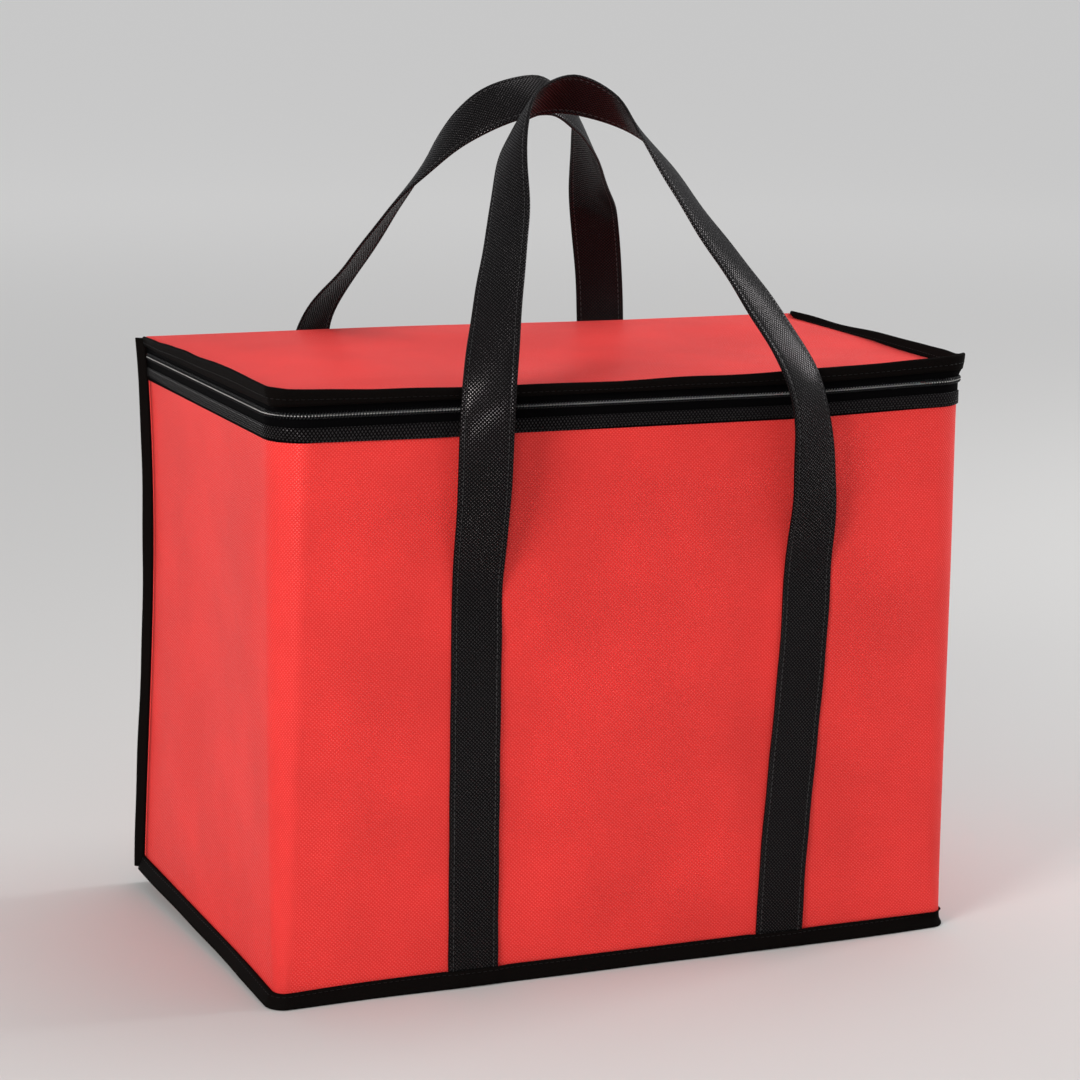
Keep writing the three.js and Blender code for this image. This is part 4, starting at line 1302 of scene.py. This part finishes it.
def sew(name, seams, material, size):
    """Stitches along seams. Each seam is a line of points with the surface's outward direction
    at each: the line is walked at the pitch, and a spindle is laid along it there."""
    found = []
    for line, normal in seams:
        run = walked(line)
        spots = np.arange(stitch_pitch / 2, run[-1], stitch_pitch)
        slope = np.gradient(line, run, axis=0)
        found.append([resample(spots, run, part) for part in (line, slope, normal)])
    place, way, normal = (np.concatenate(part)[:, None] for part in zip(*found))
    way = unit(way)
    side = unit(np.cross(normal, way))
    length, width, height = size
    u, v, w = spindle_points.T[:, :, None]
    points = place + length * u * way + 0.5 * width * v * side + height * w * np.cross(way, side)
    step = (np.arange(len(place)) * len(spindle_points))[:, None, None]
    quads = (spindle_quads + step).reshape(-1, 4)
    tris = (spindle_tris + step).reshape(-1, 3)
    cloth = np.tile(spindle_points[:, :2] * (length, width), (len(place), 1))
    return build(name, points.reshape(-1, 3), quads, tris, cloth[quads], cloth[tris], material)


for face, route in routes.items():
    seams = [
        (on_route(route, np.full(1, out), side * groove_height), side * route[2])
        for out in (-groove_at, groove_at) for side in (-1, 1)]
    blend_handle(sew(f"{face}_strap_stitches", seams, strap_thread, strap_stitch))

base_row = 7
band_seam_rise = 1.8 * mm
lid_fin_rows = ((2, 1), (lid_fin_section.shape[1] - 3, -1))
lid_fin_way = outward(lid_fin_angle[0], -0.5)
band_line, band_angle = plan(zip_along, band_inner + band_thickness, band_low + band_seam_rise)
fine_seams = {
    "base_binding": ("root", "black_binding", [(base_points[base_row], outward(base_angle[base_row]))]),
    "lid_fin": ("lid", "black_binding", [
        (lid_fin_points[row], side * lid_fin_way) for row, side in lid_fin_rows]),
    "band": ("root", "black_fabric", [(settle(band_line), outward(band_angle))]),
}
for name, (body, slot, seams) in fine_seams.items():
    on_body(sew(f"{name}_stitches", seams, seam_thread, fine_stitch), body, slot)
print("seams: straps 8, base, lid fin 2, band")

# %% [markdown]
# The floor is a wide pale sheet under soft studio light. The key lamp stands at the front left
# and models the corner and the folds. A window at the right gives the turned strap its satin, a
# small lamp near the camera wakes the glints of the emboss, and the others fill in. All are
# kept at the level where a colour renders about as it is written.

# %% Floor and light
floor_colour = (0.59, 0.58, 0.57, 1)
haze_colour = (1.0, 0.995, 0.985, 1)
floor_reach = 30
haze_near = 0.5
haze_far = 4.0
haze_level = 0.34


def floor_material():
    """A matt pale floor. For the eye, and in reflections, it fades with distance into a pale
    haze, so that it needs no wall behind it."""
    material, tree = new_material(
        "pale_floor", Roughness=0.85, Specular_IOR_Level=0.2, Base_Color=floor_colour,
        Emission_Color=haze_colour)
    place = node(tree, "TexCoord").outputs["Object"]
    distance = node(tree, "VectorMath", {"operation": "LENGTH"}, i0=place).outputs["Value"]
    rays = node(tree, "LightPath").outputs
    seen = calc(tree, "MAXIMUM", rays["Is Camera Ray"], rays["Is Glossy Ray"])
    seen = calc(tree, "MAXIMUM", seen, rays["Is Transmission Ray"])
    haze = ramp(tree, distance, haze_near, haze_far, 0.0, haze_level)
    return finished(material, Emission_Strength=calc(tree, "MULTIPLY", seen, haze))


floor_mesh = bpy.data.meshes.new("floor")
floor_corners = floor_reach * np.array([(-1, -1, 0), (1, -1, 0), (1, 1, 0), (-1, 1, 0)])
floor_mesh.from_pydata(floor_corners.tolist(), [], [(0, 1, 2, 3)])
floor_mesh.materials.append(floor_material())
add_object("floor", floor_mesh)


def lamp(name, place, aim, size, energy, colour):
    """A square area light at a place, pointed at another."""
    data = bpy.data.lights.new(name, "AREA")
    data.size = size
    data.energy = energy
    data.color = colour
    made = add_object(name, data)
    made.location = place
    made.rotation_euler = (Vector(aim) - Vector(place)).to_track_quat("-Z", "Y").to_euler()
    made.visible_camera = False


middle_of_bag = (0, 0, 0.2)
lamp("key", (-1.9, -1.25, 1.1), middle_of_bag, 0.8, 38, (1.0, 0.985, 0.96))
lamp("near_camera", (-1.15, -2.1, 0.14), middle_of_bag, 0.4, 9, (1.0, 0.99, 0.98))
lamp("fill", (1.8, -1.6, 1.0), middle_of_bag, 2.0, 3, (0.96, 0.98, 1.0))
lamp("window", (2.1, 0.05, 1.3), (0.08, 0, 0.35), 0.9, 32, (1.0, 1.0, 1.0))
lamp("above", (0.3, 0.4, 2.0), middle_of_bag, 1.2, 11, (1.0, 1.0, 1.0))
lamp("behind", (-1.1, 2.2, 0.3), middle_of_bag, 0.9, 5, (1.0, 1.0, 1.0))
world = bpy.data.worlds.new("pale_room")
world.use_nodes = True
background = world.node_tree.nodes["Background"]
background.inputs["Color"].default_value = (0.95, 0.97, 1.0, 1)
background.inputs["Strength"].default_value = 0.4
bpy.context.scene.world = world
print("lamps:", len(bpy.data.lights))
